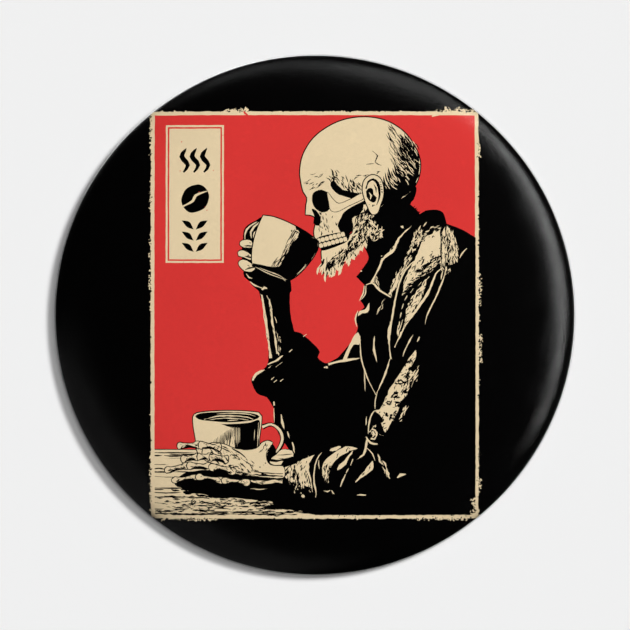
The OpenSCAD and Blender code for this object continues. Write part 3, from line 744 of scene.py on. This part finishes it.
# The head: a plain skull, drawn upright round the ear hole, then tilted and placed
headArt = {"place": (6.15, 13.55), "tilt": 15, "scale": 0.0735}


def headPlace(points):
    s, c = math.sin(math.radians(headArt["tilt"])), math.cos(math.radians(headArt["tilt"]))
    k, (px, py) = headArt["scale"], headArt["place"]
    return [(px + (x * c - y * s) * k, py + (x * s + y * c) * k) for x, y in points]


def drawBeard():
    h = headPlace
    # ragged tufts along the jaw, longest at the chin
    rng = random.Random(8)
    jawLine = smoothLine(h([(-8, -42), (-24, -64), (-46, -80), (-70, -92), (-88, -96), (-97, -88)]))
    layers = ((64, 1.2, tan), (50, 1.1, black), (84, 1.0, tan), (60, 0.85, black))
    for layer, (count, reach, colour) in enumerate(layers):
        for k in range(count):
            t = (k + rng.random()) / count
            x, y = along(jawLine, t)
            x, y = x + rng.uniform(-0.2, 0.2), y + rng.uniform(0, 0.5) + 0.2 * layer
            lean = math.radians(-62 - 38 * t + rng.uniform(-24, 24))
            size = reach * rng.uniform(0.5, 1.1) * (0.5 + 0.9 * t**1.5)
            bend = rng.uniform(-0.22, 0.22)
            tip = (x + math.cos(lean) * size, y + math.sin(lean) * size)
            brush(colour, [(x, y), ((x + tip[0]) / 2 + bend, (y + tip[1]) / 2), tip],
                  rng.uniform(0.16, 0.42) * (1 if colour == tan else 0.55), (0.8, 0.04), 0.02, rng.random(),
                  0.3, 0.3)
    # and curling up over the jaw and the cheek
    cheek = h([(-12, -30), (-20, -22), (-32, -34), (-40, -56), (-58, -70), (-80, -76), (-92, -84),
               (-86, -94), (-66, -90), (-40, -76), (-20, -56)])
    scatter(black, cheek, 150, 1.0, 0.17, 248, 41, 34)
    scatter(tan, cheek, 60, 0.8, 0.14, 240, 42, 34)
    whisker = h([(-14, -56), (-4, -44), (4, -54), (2, -68), (-10, -72), (-20, -64)])
    scatter(tan, whisker, 34, 0.75, 0.16, 250, 43, 60)


def drawEar():
    h = headPlace
    fill(tan, h([(-8, -22), (-10, -6), (-9, 10), (-2, 22), (10, 26), (20, 19), (22, 5), (18, -10), (10, -22),
                 (3, -32), (-5, -32)]), 0.12, 0.01, 350)
    brush(black, h([(-4, 8), (2, 17), (10, 19), (15, 12), (15, 0), (11, -12), (5, -20)]), 0.3, (0.6, 0.3),
          0.03, 351)
    fill(black, h([(-5, 4), (1, 8), (6, 5), (5, -3), (8, -9), (3, -15), (-3, -12), (-6, -4)]), 0, 0.03, 352,
         0.2)
    brush(tan, h([(-2, -9), (1, -4), (-1, 2)]), 0.2, (0.5, 0.2), 0.02, 353)
    brush(black, h([(9, 12), (11, 5), (9, -2)]), 0.18, (0.3, 0.2), 0.02, 354)
    hatch(black, h([(19, 14), (17, -6)]), h([(22, 12), (20, -8)]), 6, 0.12, (0.5, 0.9), 0, 0.3, 355)
    specks(black, (6.0, 11.9, 6.7, 12.3), 5, 0.13, 356)


def drawNeck():
    fill(black, [(2.0, 14.5), (2.0, 14.5), (9, 15.2), (11.2, 14.4), (11.3, 13.4), (10.65, 12.3),
                 (10.65, 12.3), (11.7, 11.2), (10.2, 10.5), (8, 9.9), (5.6, 9.0), (4.7, 9.4), (4.4, 10.4),
                 (2.6, 11.6)], 0, 0.04, 300)
    hatch(black, [(10.9, 12.0), (11.6, 11.2)], [(11.25, 12.25), (11.95, 11.5)], 5, 0.16, (0.3, 1), 0, 0.4,
          299)


def drawSkull():
    h = headPlace
    # lower jaw
    fill(tan, h([(-8, -18), (-18, -30), (-20, -50), (-27, -62), (-27, -62), (-50, -80), (-72, -92),
                 (-88, -95), (-97, -88), (-96, -76), (-92, -64), (-60, -56), (-42, -52), (-38, -40),
                 (-36, -16), (-24, -22), (-16, -14)]), 0.12, 0.01, 301)
    # cranium and upper face
    fill(tan, h([(8, -26), (0, -8), (-8, -8), (-46, -18), (-56, -34), (-58, -46), (-92, -50), (-98, -46),
                 (-97, -34), (-92, -24), (-90, -14), (-97, -8), (-103, -6), (-103, -6), (-98, 8), (-94, 18),
                 (-97, 28), (-97, 40), (-94, 60), (-82, 84), (-58, 105), (-22, 117), (14, 116), (48, 103),
                 (72, 80), (84, 52), (86, 26), (76, 2), (56, -16), (30, -22), (18, -20)]), 0.13, 0, 302)
    # eye socket, cheek hollow, temple, nose
    fill(black, h([(-86, 20), (-74, 25), (-62, 18), (-58, 4), (-66, -8), (-78, -9), (-87, 2)]), 0, 0.04,
         303)
    fill(black, h([(-92, 0), (-86, -4), (-82, -18), (-88, -28), (-95, -22), (-91, -12)]), 0, 0.03, 304)
    fill(black, h([(-52, -24), (-34, -14), (-14, -12), (-20, -26), (-36, -30), (-38, -44), (-46, -52),
                   (-57, -48), (-60, -36)]), 0, 0.05, 305)
    fill(black, h([(-54, 22), (-46, 10), (-30, 0), (-14, 0), (-24, 8), (-36, 14), (-44, 24), (-48, 34),
                   (-54, 32)]), 0, 0.07, 306)
    temple = h([(-56, 44), (-50, 20), (-30, 4), (-10, 2), (-12, 20), (-30, 32), (-44, 50)])
    scatter(black, temple, 64, 1.0, 0.15, 122, 307, 30)
    # cheekbone reaching back to the ear hole
    fill(tan, h([(-64, -10), (-56, -14), (-36, -10), (-14, -6), (-6, -2), (-10, 3), (-30, -1), (-50, -3),
                 (-58, 8), (-62, 18), (-64, 4)]), 0.07, 0.02, 308)


def drawHair():
    # short, and hatched up the back over the shadow at the skull's base
    h = headPlace
    fill(black, h([(86, 30), (76, 2), (56, -16), (30, -22), (18, -20), (8, -26), (8, -14), (22, -2), (38, 4),
                   (50, 6), (60, 16), (68, 26), (76, 36), (82, 50), (86, 40)]), 0, 0.12, 310)
    hatch(black, h([(85, 52), (68, 20), (44, 2), (14, -10)]), h([(66, 78), (46, 52), (30, 34), (14, 20)]),
          60, 0.2, (0.15, 0.8), 0.14, 0.5, 311, (1, 0))
    nape = h([(84, 60), (86, 36), (70, 10), (46, -4), (28, -4), (30, 12), (48, 26), (62, 44), (72, 66)])
    scatter(black, nape, 90, 1.25, 0.15, 128, 312, 16)
    scatter(tan, nape, 70, 1.0, 0.1, 128, 313, 16)
    hair = h([(56, 92), (70, 78), (82, 56), (74, 34), (56, 24), (42, 40), (48, 62), (50, 80)])
    scatter(black, hair, 62, 1.8, 0.09, 124, 314, 8, (0.1, 0.1))
    scatter(black, h([(66, 82), (82, 58), (80, 36), (66, 30), (62, 50), (64, 70)]), 40, 1.5, 0.15, 118, 315,
            9, (0.1, 0.1))


def drawSkullMarks():
    h = headPlace
    # suture, brow and cheek
    brush(black, h([(20, 62), (26, 52), (20, 44), (28, 36)]), 0.13, (0.3, 0.2), 0.03, 316)
    brush(black, h([(6, 44), (18, 42)]), 0.12, (0.2, 0.1), 0.03, 317)
    scatter(black, h([(-94, 44), (-90, 28), (-70, 30), (-60, 44), (-74, 52)]), 20, 0.8, 0.1, 22, 318, 22)
    scatter(black, h([(-86, -10), (-62, -14), (-64, -40), (-88, -42)]), 26, 0.6, 0.12, 95, 319, 25)
    scatter(black, h([(-10, 14), (24, 22), (20, 34), (-14, 30)]), 14, 0.7, 0.12, 30, 320, 40)


def drawTeeth():
    h = headPlace
    fill(black, h([(-98, -46), (-58, -46), (-46, -50), (-50, -60), (-62, -64), (-92, -66), (-96, -60)]), 0,
         0.02, 321)
    teeth = 7
    for row, y in ((0, -50), (1, -58)):
        for k in range(teeth):
            x = -94 + k * 6.3 + row * 1.5
            tooth = h([(x - 2.4, y - 3), (x + 2.4, y - 3), (x + 2.6, y + 3), (x - 2.6, y + 3)])
            fill(tan, tooth, 0, 0.02, 330 + k + row * teeth, 0.25)


def drawHead():
    drawNeck()
    drawSkull()
    drawHair()
    drawSkullMarks()
    drawTeeth()
    drawBeard()
    drawEar()


def drawAll():
    drawFrame()
    drawTable()
    drawLabel()
    drawCoat()
    drawWear()
    drawHead()
    drawRaisedHand()
    drawMugBody()
    drawTableMug()
    drawHand()


drawAll()
print("artwork drawn in", len(printShapes), "shapes")


# Shader groups that the materials share
def makeGroup(name, inputs, outputs):
    # a group with its sockets: name, type and standing value
    group = bpy.data.node_groups.new(name, "ShaderNodeTree")
    for label, kind, value in inputs:
        socket = group.interface.new_socket(label, in_out="INPUT", socket_type="NodeSocket" + kind)
        socket.default_value = value
    for label, kind in outputs:
        group.interface.new_socket(label, in_out="OUTPUT", socket_type="NodeSocket" + kind)
    return group, group.nodes.new("NodeGroupInput"), group.nodes.new("NodeGroupOutput")


def noise(tree, scale, detail, vector, roughness=0.6):
    node = tree.nodes.new("ShaderNodeTexNoise")
    node.inputs["Scale"].default_value = scale
    node.inputs["Detail"].default_value = detail
    node.inputs["Roughness"].default_value = roughness
    tree.links.new(vector, node.inputs["Vector"])
    return node.outputs["Fac"]


def spread(tree, value, low, high, toLow, toHigh):
    # a value's range from low to high stretched to another range
    node = tree.nodes.new("ShaderNodeMapRange")
    for label, number in (("From Min", low), ("From Max", high), ("To Min", toLow), ("To Max", toHigh)):
        node.inputs[label].default_value = number
    tree.links.new(value, node.inputs["Value"])
    return node.outputs["Result"]


def combine(tree, operation, a, b):
    node = tree.nodes.new("ShaderNodeMath")
    node.operation = operation
    for socket, value in zip(node.inputs, (a, b)):
        if isinstance(value, (int, float)):
            socket.default_value = value
        else:
            tree.links.new(value, socket)
    return node.outputs[0]


def shade(tree, colour, value):
    # the colour made lighter or darker by a value round 1
    node = tree.nodes.new("ShaderNodeVectorMath")
    node.operation = "SCALE"
    tree.links.new(colour, node.inputs[0])
    tree.links.new(value, node.inputs["Scale"])
    return node.outputs[0]


def objectPlace(tree):
    return tree.nodes.new("ShaderNodeTexCoord").outputs["Object"]


def makeInkOnPaper():
    # ink over uncoated paper: clouds in the ink, and the paper's fibres
    group, given, out = makeGroup(
        "inkOnPaper",
        [("Ink", "Color", (0, 0, 0, 1)), ("Cloud", "Float", 0.04), ("Fibre", "Float", 0.04)],
        [("Color", "Color"), ("Roughness", "Float"), ("Height", "Float")])
    place = objectPlace(group)
    clouds = spread(group, noise(group, 90, 3, place), 0.3, 0.7, -1, 1)
    fibres = spread(group, noise(group, 2600, 4, place, 0.7), 0.3, 0.7, -1, 1)
    both = combine(group, "ADD", combine(group, "MULTIPLY", clouds, given.outputs["Cloud"]),
                   combine(group, "MULTIPLY", fibres, given.outputs["Fibre"]))
    tone = shade(group, given.outputs["Ink"], combine(group, "ADD", both, 1))
    group.links.new(tone, out.inputs["Color"])
    group.links.new(spread(group, fibres, -1, 1, 0.55, 0.75), out.inputs["Roughness"])
    group.links.new(fibres, out.inputs["Height"])
    return group


def makeMetalSurface():
    # drawn or rolled metal: lines along one way, cloudy tarnish and fine scratches
    group, given, out = makeGroup(
        "metalSurface",
        [("Metal", "Color", (0.6, 0.6, 0.6, 1)), ("Lines", "Vector", (0, 0, 0)), ("Tarnish", "Float", 0.1),
         ("Low Roughness", "Float", 0.2), ("High Roughness", "Float", 0.35)],
        [("Color", "Color"), ("Roughness", "Float"), ("Height", "Float")])
    place = objectPlace(group)
    drawn = group.nodes.new("ShaderNodeVectorMath")
    drawn.operation = "MULTIPLY"
    group.links.new(place, drawn.inputs[0])
    group.links.new(given.outputs["Lines"], drawn.inputs[1])
    lines = noise(group, 1, 4, drawn.outputs[0], 0.65)
    clouds = noise(group, 160, 5, place, 0.65)
    scratches = noise(group, 900, 2, place, 0.5)
    tone = combine(group, "MULTIPLY", spread(group, clouds, 0.35, 0.65, -1, 0.4), given.outputs["Tarnish"])
    group.links.new(shade(group, given.outputs["Metal"], combine(group, "ADD", tone, 1)),
                    out.inputs["Color"])
    halves = [combine(group, "MULTIPLY", part, 0.5) for part in (lines, clouds)]
    mixed = combine(group, "ADD", *halves)
    rough = group.nodes.new("ShaderNodeMapRange")
    rough.inputs["From Min"].default_value = 0.35
    rough.inputs["From Max"].default_value = 0.65
    group.links.new(mixed, rough.inputs["Value"])
    group.links.new(given.outputs["Low Roughness"], rough.inputs["To Min"])
    group.links.new(given.outputs["High Roughness"], rough.inputs["To Max"])
    group.links.new(rough.outputs["Result"], out.inputs["Roughness"])
    group.links.new(combine(group, "ADD", lines, combine(group, "MULTIPLY", scratches, 0.3)),
                    out.inputs["Height"])
    return group


inkOnPaper = makeInkOnPaper()
metalSurface = makeMetalSurface()


def newMaterial(name):
    material = bpy.data.materials.new(name)
    material.use_nodes = True
    material.node_tree.nodes.clear()
    return material, material.node_tree


def placeGroup(tree, group, values):
    node = tree.nodes.new("ShaderNodeGroup")
    node.node_tree = group
    for label, value in values.items():
        node.inputs[label].default_value = value
    return node


def addBump(tree, height, strength, distance):
    node = tree.nodes.new("ShaderNodeBump")
    node.inputs["Strength"].default_value = strength
    node.inputs["Distance"].default_value = distance
    tree.links.new(height, node.inputs["Height"])
    return node.outputs["Normal"]


def finishMaterial(tree, shader):
    out = tree.nodes.new("ShaderNodeOutputMaterial")
    tree.links.new(shader, out.inputs["Surface"])


grainDepth = 0.02 * mm                          # how deep the grain of paper and metal is


def surfaceFrom(tree, group, metallic, bumpStrength):
    shader = tree.nodes.new("ShaderNodeBsdfPrincipled")
    shader.inputs["Metallic"].default_value = metallic
    tree.links.new(group.outputs["Color"], shader.inputs["Base Color"])
    tree.links.new(group.outputs["Roughness"], shader.inputs["Roughness"])
    tree.links.new(addBump(tree, group.outputs["Height"], bumpStrength, grainDepth),
                   shader.inputs["Normal"])
    finishMaterial(tree, shader.outputs[0])
    return shader


inkLooks = {
    "blackInk": {"Ink": (0.0004, 0.00035, 0.00035, 1), "Cloud": 0.3, "Fibre": 0.3},
    "redInk": {"Ink": (0.675, 0.041, 0.037, 1), "Cloud": 0.03, "Fibre": 0.03},
    "tanPaper": {"Ink": (0.765, 0.62, 0.396, 1), "Cloud": 0.03, "Fibre": 0.03},
}


def makeInk(name):
    material, tree = newMaterial(name)
    group = placeGroup(tree, inkOnPaper, inkLooks[name])
    shader = surfaceFrom(tree, group, 0, 0.15)
    shader.inputs["Specular IOR Level"].default_value = 0.05
    return material


metalLooks = {
    "tinplate": {"Metal": (0.62, 0.62, 0.60, 1), "Lines": (25, 25, 5200), "Tarnish": 0.12,
                 "Low Roughness": 0.25, "High Roughness": 0.38},
    "nickel": {"Metal": (0.66, 0.63, 0.58, 1), "Lines": (60, 2400, 2400), "Tarnish": 0.1,
               "Low Roughness": 0.14, "High Roughness": 0.30},
    "rivetSteel": {"Metal": (0.58, 0.57, 0.55, 1), "Lines": (900, 900, 900), "Tarnish": 0.15,
                   "Low Roughness": 0.18, "High Roughness": 0.36},
    "pinWire": {"Metal": (0.64, 0.64, 0.63, 1), "Lines": (50, 3600, 3600), "Tarnish": 0.08,
                "Low Roughness": 0.10, "High Roughness": 0.24},
}


def makeMetal(name):
    material, tree = newMaterial(name)
    surfaceFrom(tree, placeGroup(tree, metalSurface, metalLooks[name]), 1, 0.25)
    return material


filmLook = {"ior": 1.5, "roughness": 0.29, "haze": 0.15, "wave": 0.08, "waveDepth": 0.1 * mm}


def makeFilmLook():
    # a clear skin: a mirror by its Fresnel share from outside, and see-through for the rest
    material, tree = newMaterial("clearFilm")
    place = objectPlace(tree)
    normal = addBump(tree, noise(tree, 60, 2, place), filmLook["wave"], filmLook["waveDepth"])
    fresnel = tree.nodes.new("ShaderNodeFresnel")
    fresnel.inputs["IOR"].default_value = filmLook["ior"]
    tree.links.new(normal, fresnel.inputs["Normal"])
    facing = tree.nodes.new("ShaderNodeNewGeometry").outputs["Backfacing"]
    share = combine(tree, "MULTIPLY", fresnel.outputs[0], combine(tree, "SUBTRACT", 1, facing))
    mirror = tree.nodes.new("ShaderNodeBsdfGlossy")
    mirror.distribution = "BECKMANN"            # its highlights end cleanly, as on pressed film
    tree.links.new(normal, mirror.inputs["Normal"])
    rough, haze = filmLook["roughness"], filmLook["haze"]
    cloudy = spread(tree, noise(tree, 300, 4, place), 0.3, 0.7, rough * (1 - haze), rough * (1 + haze))
    tree.links.new(cloudy, mirror.inputs["Roughness"])
    mix = tree.nodes.new("ShaderNodeMixShader")
    tree.links.new(share, mix.inputs[0])
    tree.links.new(tree.nodes.new("ShaderNodeBsdfTransparent").outputs[0], mix.inputs[1])
    tree.links.new(mirror.outputs[0], mix.inputs[2])
    finishMaterial(tree, mix.outputs[0])
    return material


# The wrapped layers are sections turned round the badge's axis
hookX = cover["radius"] - cover["rim"] - cover["flat"]
domeHeight = cover["height"] - cover["rim"]
layerSteps = {"dome": 40, "rim": 10, "hook": 8}


def coverAt(u, setIn):
    # place (r, h) and outward normal on a layer; u is the radius as far as the widest ring,
    # and past it the way along
    across, up = cover["radius"] - setIn, domeHeight - setIn
    rim, hook = cover["rim"] - setIn, cover["hook"] - setIn
    if u <= across:
        h = up * math.sqrt(max(0, 1 - (u / across) ** 2))
        size = math.hypot(u / across**2, h / up**2)
        return u, cover["rim"] + h, u / across**2 / size, h / up**2 / size
    u -= across
    if u <= rim * math.pi / 2:
        a = u / rim
        middle = cover["radius"] - cover["rim"]
        return middle + rim * math.cos(a), cover["rim"] - rim * math.sin(a), math.cos(a), -math.sin(a)
    u -= rim * math.pi / 2
    if u <= cover["flat"]:
        return cover["radius"] - cover["rim"] - u, setIn, 0, -1
    u -= cover["flat"]
    if u <= hook * math.pi / 2:
        a = u / hook
        return hookX - hook * math.sin(a), cover["hook"] - hook * math.cos(a), -math.sin(a), -math.cos(a)
    return hookX - hook, cover["hook"] + u - hook * math.pi / 2, -1, 0


def coverRings(setIn, top, first):
    # the values of u where a layer is divided, from one of the dome's steps to the end of the hook
    across, rim, hook = cover["radius"] - setIn, cover["rim"] - setIn, cover["hook"] - setIn
    dome, bend, curl = layerSteps["dome"], layerSteps["rim"], layerSteps["hook"]
    rings = [across * math.sin(math.pi / 2 * k / dome) for k in range(first, dome)]
    rings += [across + rim * math.pi / 2 * k / bend for k in range(bend + 1)]
    flatEnd = rings[-1] + cover["flat"]
    rings += [flatEnd + hook * math.pi / 2 * k / curl for k in range(curl + 1)]
    return rings + [rings[-1] + top - cover["hook"]]


def ringCircle(u, count):
    angles = [2 * math.pi * k / count for k in range(count)]
    return [(u * math.cos(a), u * math.sin(a)) for a in angles]


def onBadge(r, h, a):
    return (r * math.cos(a) * mm, -h * mm, r * math.sin(a) * mm)


def makePiece(name, points, faces, body, replaced, materials):
    mesh = bpy.data.meshes.new(name)
    for material in materials:
        mesh.materials.append(material)
    mesh.from_pydata(points, [], faces)
    mesh.validate()
    piece = bpy.data.objects.new(name, mesh)
    bpy.context.scene.collection.objects.link(piece)
    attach(piece, body)
    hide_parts(replaced)
    return piece


def turnedFaces(rows, count, first=0):
    # quads between rows of points round the axis
    out = []
    for i in range(rows - 1):
        for k in range(count):
            a, b = first + i * count, first + (i + 1) * count
            n = (k + 1) % count
            out.append((a + k, b + k, b + n, a + n))
    return out


# The clear film, a closed shell over the print
filmPlan = {"segments": 256, "sharp": 50}       # sharp: the angle at which its shading breaks


def makeFilm():
    layer, count = cover["film"], filmPlan["segments"]
    rings = coverRings(layer["setIn"], layer["top"], 1)
    section = [coverAt(u, layer["setIn"])[:2] for u in rings]
    inner = layer["setIn"] + layer["thickness"]
    section += [coverAt(u, inner)[:2] for u in coverRings(inner, layer["top"], 1)[::-1]]
    points = [onBadge(r, h, 2 * math.pi * k / count) for r, h in section for k in range(count)]
    faces = turnedFaces(len(section), count)
    outside, inside = len(points), len(points) + 1
    points += [onBadge(0, cover["height"] - d, 0) for d in (layer["setIn"], inner)]
    last = (len(section) - 1) * count
    for k in range(count):
        n = (k + 1) % count
        faces.append((outside, k, n))
        faces.append((inside, last + n, last + k))
    film = makePiece("clear_film_cover", points, faces, "badge", "clear_film",
                     [makeFilmLook()])
    film.data.shade_smooth()
    film.data.set_sharp_from_angle(angle=math.radians(filmPlan["sharp"]))


makeFilm()
print("film made")

# The printed sheet: the drawing's shapes cut into one mesh and laid over the dome
sheetPlan = {
    "segments": 192,
    "firstRing": 24,                            # of the dome's steps, from the middle
    "pitch": 1.6,                               # between the loose points inside that ring
    "rowGap": 0.866,                            # between their rows, of that pitch
    "join": 1e-5,                               # points nearer than this are one
}


def shapeColours(x, z):
    # the colour of the last shape painted over each point
    found = numpy.full(len(x), black)
    for colour, outline in printShapes:
        line = numpy.array(outline)
        low, high = line.min(axis=0), line.max(axis=0)
        near = numpy.nonzero((x > low[0]) & (x < high[0]) & (z > low[1]) & (z < high[1]))[0]
        if not len(near):
            continue
        px, pz = x[near], z[near]
        turns = numpy.zeros(len(near), int)
        for (x0, z0), (x1, z1) in zip(line, numpy.roll(line, -1, axis=0)):
            side = (x1 - x0) * (pz - z0) - (px - x0) * (z1 - z0)
            turns += (z0 <= pz) & (z1 > pz) & (side > 0)
            turns -= (z0 > pz) & (z1 <= pz) & (side < 0)
        found[near[turns != 0]] = colour
    return found


def loosePoints(reach, pitch):
    # points strewn evenly, so that the dome stays round between the shapes
    out = []
    steps = int(reach / pitch) + 1
    for row in range(-steps, steps + 1):
        for k in range(-steps, steps + 1):
            x, z = (k + 0.5 * (row % 2)) * pitch, row * pitch * sheetPlan["rowGap"]
            if math.hypot(x, z) < reach - pitch / 2:
                out.append((x, z))
    return out


def makeSheet():
    layer, count = cover["sheet"], sheetPlan["segments"]
    setIn = layer["setIn"]
    rings = coverRings(setIn, layer["top"], sheetPlan["firstRing"])
    coords, edges = [], []
    for u in rings:
        first = len(coords)
        coords += ringCircle(u, count)
        edges += [(first + k, first + (k + 1) % count) for k in range(count)]
    coords += loosePoints(rings[0], sheetPlan["pitch"])
    for colour, outline in printShapes:
        first = len(coords)
        coords += outline
        edges += [(first + k, first + (k + 1) % len(outline)) for k in range(len(outline))]
    cut = geometry.delaunay_2d_cdt([Vector(c) for c in coords], edges, [], 0, sheetPlan["join"], False)
    flat = numpy.array([tuple(v) for v in cut[0]])
    faces = numpy.array(cut[2])
    middle = flat[faces].mean(axis=1)
    inside = numpy.hypot(middle[:, 0], middle[:, 1]) < rings[-1] * math.cos(math.pi / count)
    faces, middle = faces[inside], middle[inside]
    colours = shapeColours(middle[:, 0], middle[:, 1])
    used, places = numpy.unique(faces, return_inverse=True)
    faces = places.reshape(faces.shape)
    points, normals = [], []
    for x, z in flat[used]:
        u = math.hypot(x, z)
        a = math.atan2(z, x)
        r, h, outward, up = coverAt(min(u, rings[-1]), setIn)
        points.append(onBadge(r, h, a))
        normals.append((outward * math.cos(a), -up, outward * math.sin(a)))
    # the back of the sheet, from the hook's end to the middle
    rim = [k for k, (x, z) in enumerate(flat[used]) if abs(math.hypot(x, z) - rings[-1]) < 1e-3]
    rim.sort(key=lambda k: math.atan2(flat[used][k][1], flat[used][k][0]) % (2 * math.pi))
    inner = setIn + layer["thickness"]
    behind = coverRings(inner, layer["top"], 1)[::-1]
    first, around = len(points), len(rim)
    for u in behind:
        r, h, outward, up = coverAt(u, inner)
        for k in range(around):
            a = 2 * math.pi * k / around
            points.append(onBadge(r, h, a))
            normals.append((-outward * math.cos(a), up, -outward * math.sin(a)))
    points.append(onBadge(0, cover["height"] - inner, 0))
    normals.append((0, 1, 0))
    allFaces = [tuple(int(i) for i in f) for f in faces]
    extra = [(rim[(k + 1) % around], rim[k], first + k, first + (k + 1) % around) for k in range(around)]
    extra += turnedFaces(len(behind), around, first)
    last = first + (len(behind) - 1) * around
    extra += [(last + (k + 1) % around, last + k, len(points) - 1) for k in range(around)]
    inks = [makeInk(name) for name in inkLooks]
    piece = makePiece("printed_art", points, allFaces + extra, "badge", "printed_sheet",
                      inks)
    mesh = piece.data
    print("sheet of", len(mesh.polygons), "faces", around, "round the hook")
    for polygon, colour in zip(mesh.polygons, colours):
        polygon.material_index = int(colour)
    mesh.shade_smooth()
    mesh.normals_split_custom_set_from_vertices(normals)


makeSheet()
print("printed sheet made")

# The metal of each piece inside and behind
finishes = {
    "front_shell": "tinplate",
    "back_plate": "tinplate",
    "pin_bar": "nickel",
    "bar_rivets": "rivetSteel",
    "hinge_rivet": "rivetSteel",
    "needle": "pinWire",
    "safety_catch": "nickel",
}
metals = {name: makeMetal(name) for name in metalLooks}
for nodeName, metalName in finishes.items():
    for slot in nodes[nodeName].material_slots:
        slot.material = metals[metalName]
print("materials made")

# Stage, lights and camera
stagePlan = {
    "wall": 0.6 * mm,                           # behind the plane of the back rim
    "floor": 50 * mm,                           # below the badge
    "size": 3.0,
    "tone": 0.86,
    "glow": 0.006,                              # light from all round
}


def makeStagePlane(name, corners, oneSided):
    # a one-sided plane is clear from behind
    mesh = bpy.data.meshes.new(name)
    mesh.from_pydata(corners, [], [(0, 1, 2, 3)])
    plane = bpy.data.objects.new(name, mesh)
    bpy.context.scene.collection.objects.link(plane)
    material, tree = newMaterial(name + "Paint")
    shader = tree.nodes.new("ShaderNodeBsdfDiffuse")
    tone = stagePlan["tone"]
    shader.inputs["Color"].default_value = (tone, tone, tone, 1)
    surface = shader.outputs[0]
    if oneSided:
        mix = tree.nodes.new("ShaderNodeMixShader")
        tree.links.new(tree.nodes.new("ShaderNodeNewGeometry").outputs["Backfacing"], mix.inputs[0])
        tree.links.new(surface, mix.inputs[1])
        tree.links.new(tree.nodes.new("ShaderNodeBsdfTransparent").outputs[0], mix.inputs[2])
        surface = mix.outputs[0]
    finishMaterial(tree, surface)
    mesh.materials.append(material)
    return plane


half = stagePlan["size"] / 2
wallY, floorZ = stagePlan["wall"], cadBox[0].z - stagePlan["floor"]
wallCorners = [(-half, wallY, floorZ), (half, wallY, floorZ), (half, wallY, half), (-half, wallY, half)]
wall = makeStagePlane("backdrop", wallCorners, True)
wall.visible_glossy = False
wall.visible_shadow = False
wall.visible_diffuse = False                    # so the floor is as pale behind it as before it
floorCorners = [(x * half, y * half, floorZ) for x, y in ((-1, -1), (1, -1), (1, 1), (-1, 1))]
floor = makeStagePlane("floor", floorCorners, False)
floor.visible_diffuse = False                   # or its glow would throw a shadow up the wall
floor.visible_glossy = False


def aimAtBadge(thing, place):
    thing.location = place
    thing.rotation_mode = "QUATERNION"
    thing.rotation_quaternion = (-Vector(place)).to_track_quat("-Z", "Y")


def addLight(name, power, place, size, gloss):
    # a sun where size is an angle, and otherwise a soft box
    data = bpy.data.lights.new(name, "AREA" if isinstance(size, tuple) else "SUN")
    data.energy = power
    if isinstance(size, tuple):
        data.shape = "RECTANGLE"
        data.size, data.size_y = size
    else:
        data.angle = math.radians(size)
    light = bpy.data.objects.new(name, data)
    bpy.context.scene.collection.objects.link(light)
    aimAtBadge(light, place)
    light.visible_glossy = gloss
    light.visible_diffuse = not gloss


def roundAxis(off, around, distance):
    # a place seen from the badge: off its axis by one angle, and round it from the right by the other
    off, around = math.radians(off), math.radians(around)
    side, up = math.sin(off) * math.cos(around), math.sin(off) * math.sin(around)
    return [distance * v for v in (side, -math.cos(off), up)]


# power, place and size of each light
softLights = {
    "keyLight": (2.38, roundAxis(28, 33, 1), 12),
    "frontFill": (3.75, (0.05, -1, 0.05), (0.3, 0.3)),
    "backFill": (3, (0.0, 1, 0.3), (1.2, 1.2)),
    "floorFill": (1.8, (0, 0.25, 1), 20),
}
# these show only as gloss
glossBoxes = {
    "sideBox": (3.1, roundAxis(62.5, 12, 0.7), (0.22, 1.0)),
    "upperBox": (0.5, roundAxis(70, 66, 0.7), (0.5, 0.28)),
    "topBox": (0.24, roundAxis(74, 98, 0.7), (0.5, 0.3)),
    "lowBox": (0.8, roundAxis(82, 228, 0.7), (1.2, 1.2)),
    "backTop": (2.5, (-0.3, 0.6, 0.5), (0.6, 0.5)),
    "backSide": (1.2, (0.6, 0.5, -0.1), (0.4, 0.8)),
    "backMid": (1.5, (0.1, 0.9, -0.15), (0.9, 0.9)),
}
for name, (power, place, size) in softLights.items():
    addLight(name, power, place, size, False)
for name, (power, place, size) in glossBoxes.items():
    addLight(name, power, place, size, True)


def makeWorld():
    # pale where the camera sees past the stage, and nearly dark as a light
    world = bpy.data.worlds.new("studio")
    bpy.context.scene.world = world
    world.use_nodes = True
    tree = world.node_tree
    tree.nodes.clear()
    seen = tree.nodes.new("ShaderNodeBackground")
    tone = stagePlan["tone"]
    seen.inputs["Color"].default_value = (tone, tone, tone, 1)
    glow = tree.nodes.new("ShaderNodeBackground")
    glow.inputs["Color"].default_value = (1, 1, 1, 1)
    glow.inputs["Strength"].default_value = stagePlan["glow"]
    choose = tree.nodes.new("ShaderNodeMixShader")
    tree.links.new(tree.nodes.new("ShaderNodeLightPath").outputs["Is Camera Ray"], choose.inputs[0])
    tree.links.new(glow.outputs[0], choose.inputs[1])
    tree.links.new(seen.outputs[0], choose.inputs[2])
    out = tree.nodes.new("ShaderNodeOutputWorld")
    tree.links.new(choose.outputs[0], out.inputs["Surface"])


makeWorld()

# seen: the width in view at the badge's widest ring
cameraPlan = {"lens": 500, "sensor": 36, "seen": 70.1 * mm}
camData = bpy.data.cameras.new("camera")
camData.lens = cameraPlan["lens"]
camData.sensor_width = cameraPlan["sensor"]
camera = bpy.data.objects.new("camera", camData)
bpy.context.scene.collection.objects.link(camera)
widestY = -cover["rim"] * mm
away = cameraPlan["seen"] * cameraPlan["lens"] / cameraPlan["sensor"]
aimAtBadge(camera, (0, widestY - away, 0))
bpy.context.scene.camera = camera
bpy.context.scene.view_settings.view_transform = "Standard"
print("stage, lights and camera set")
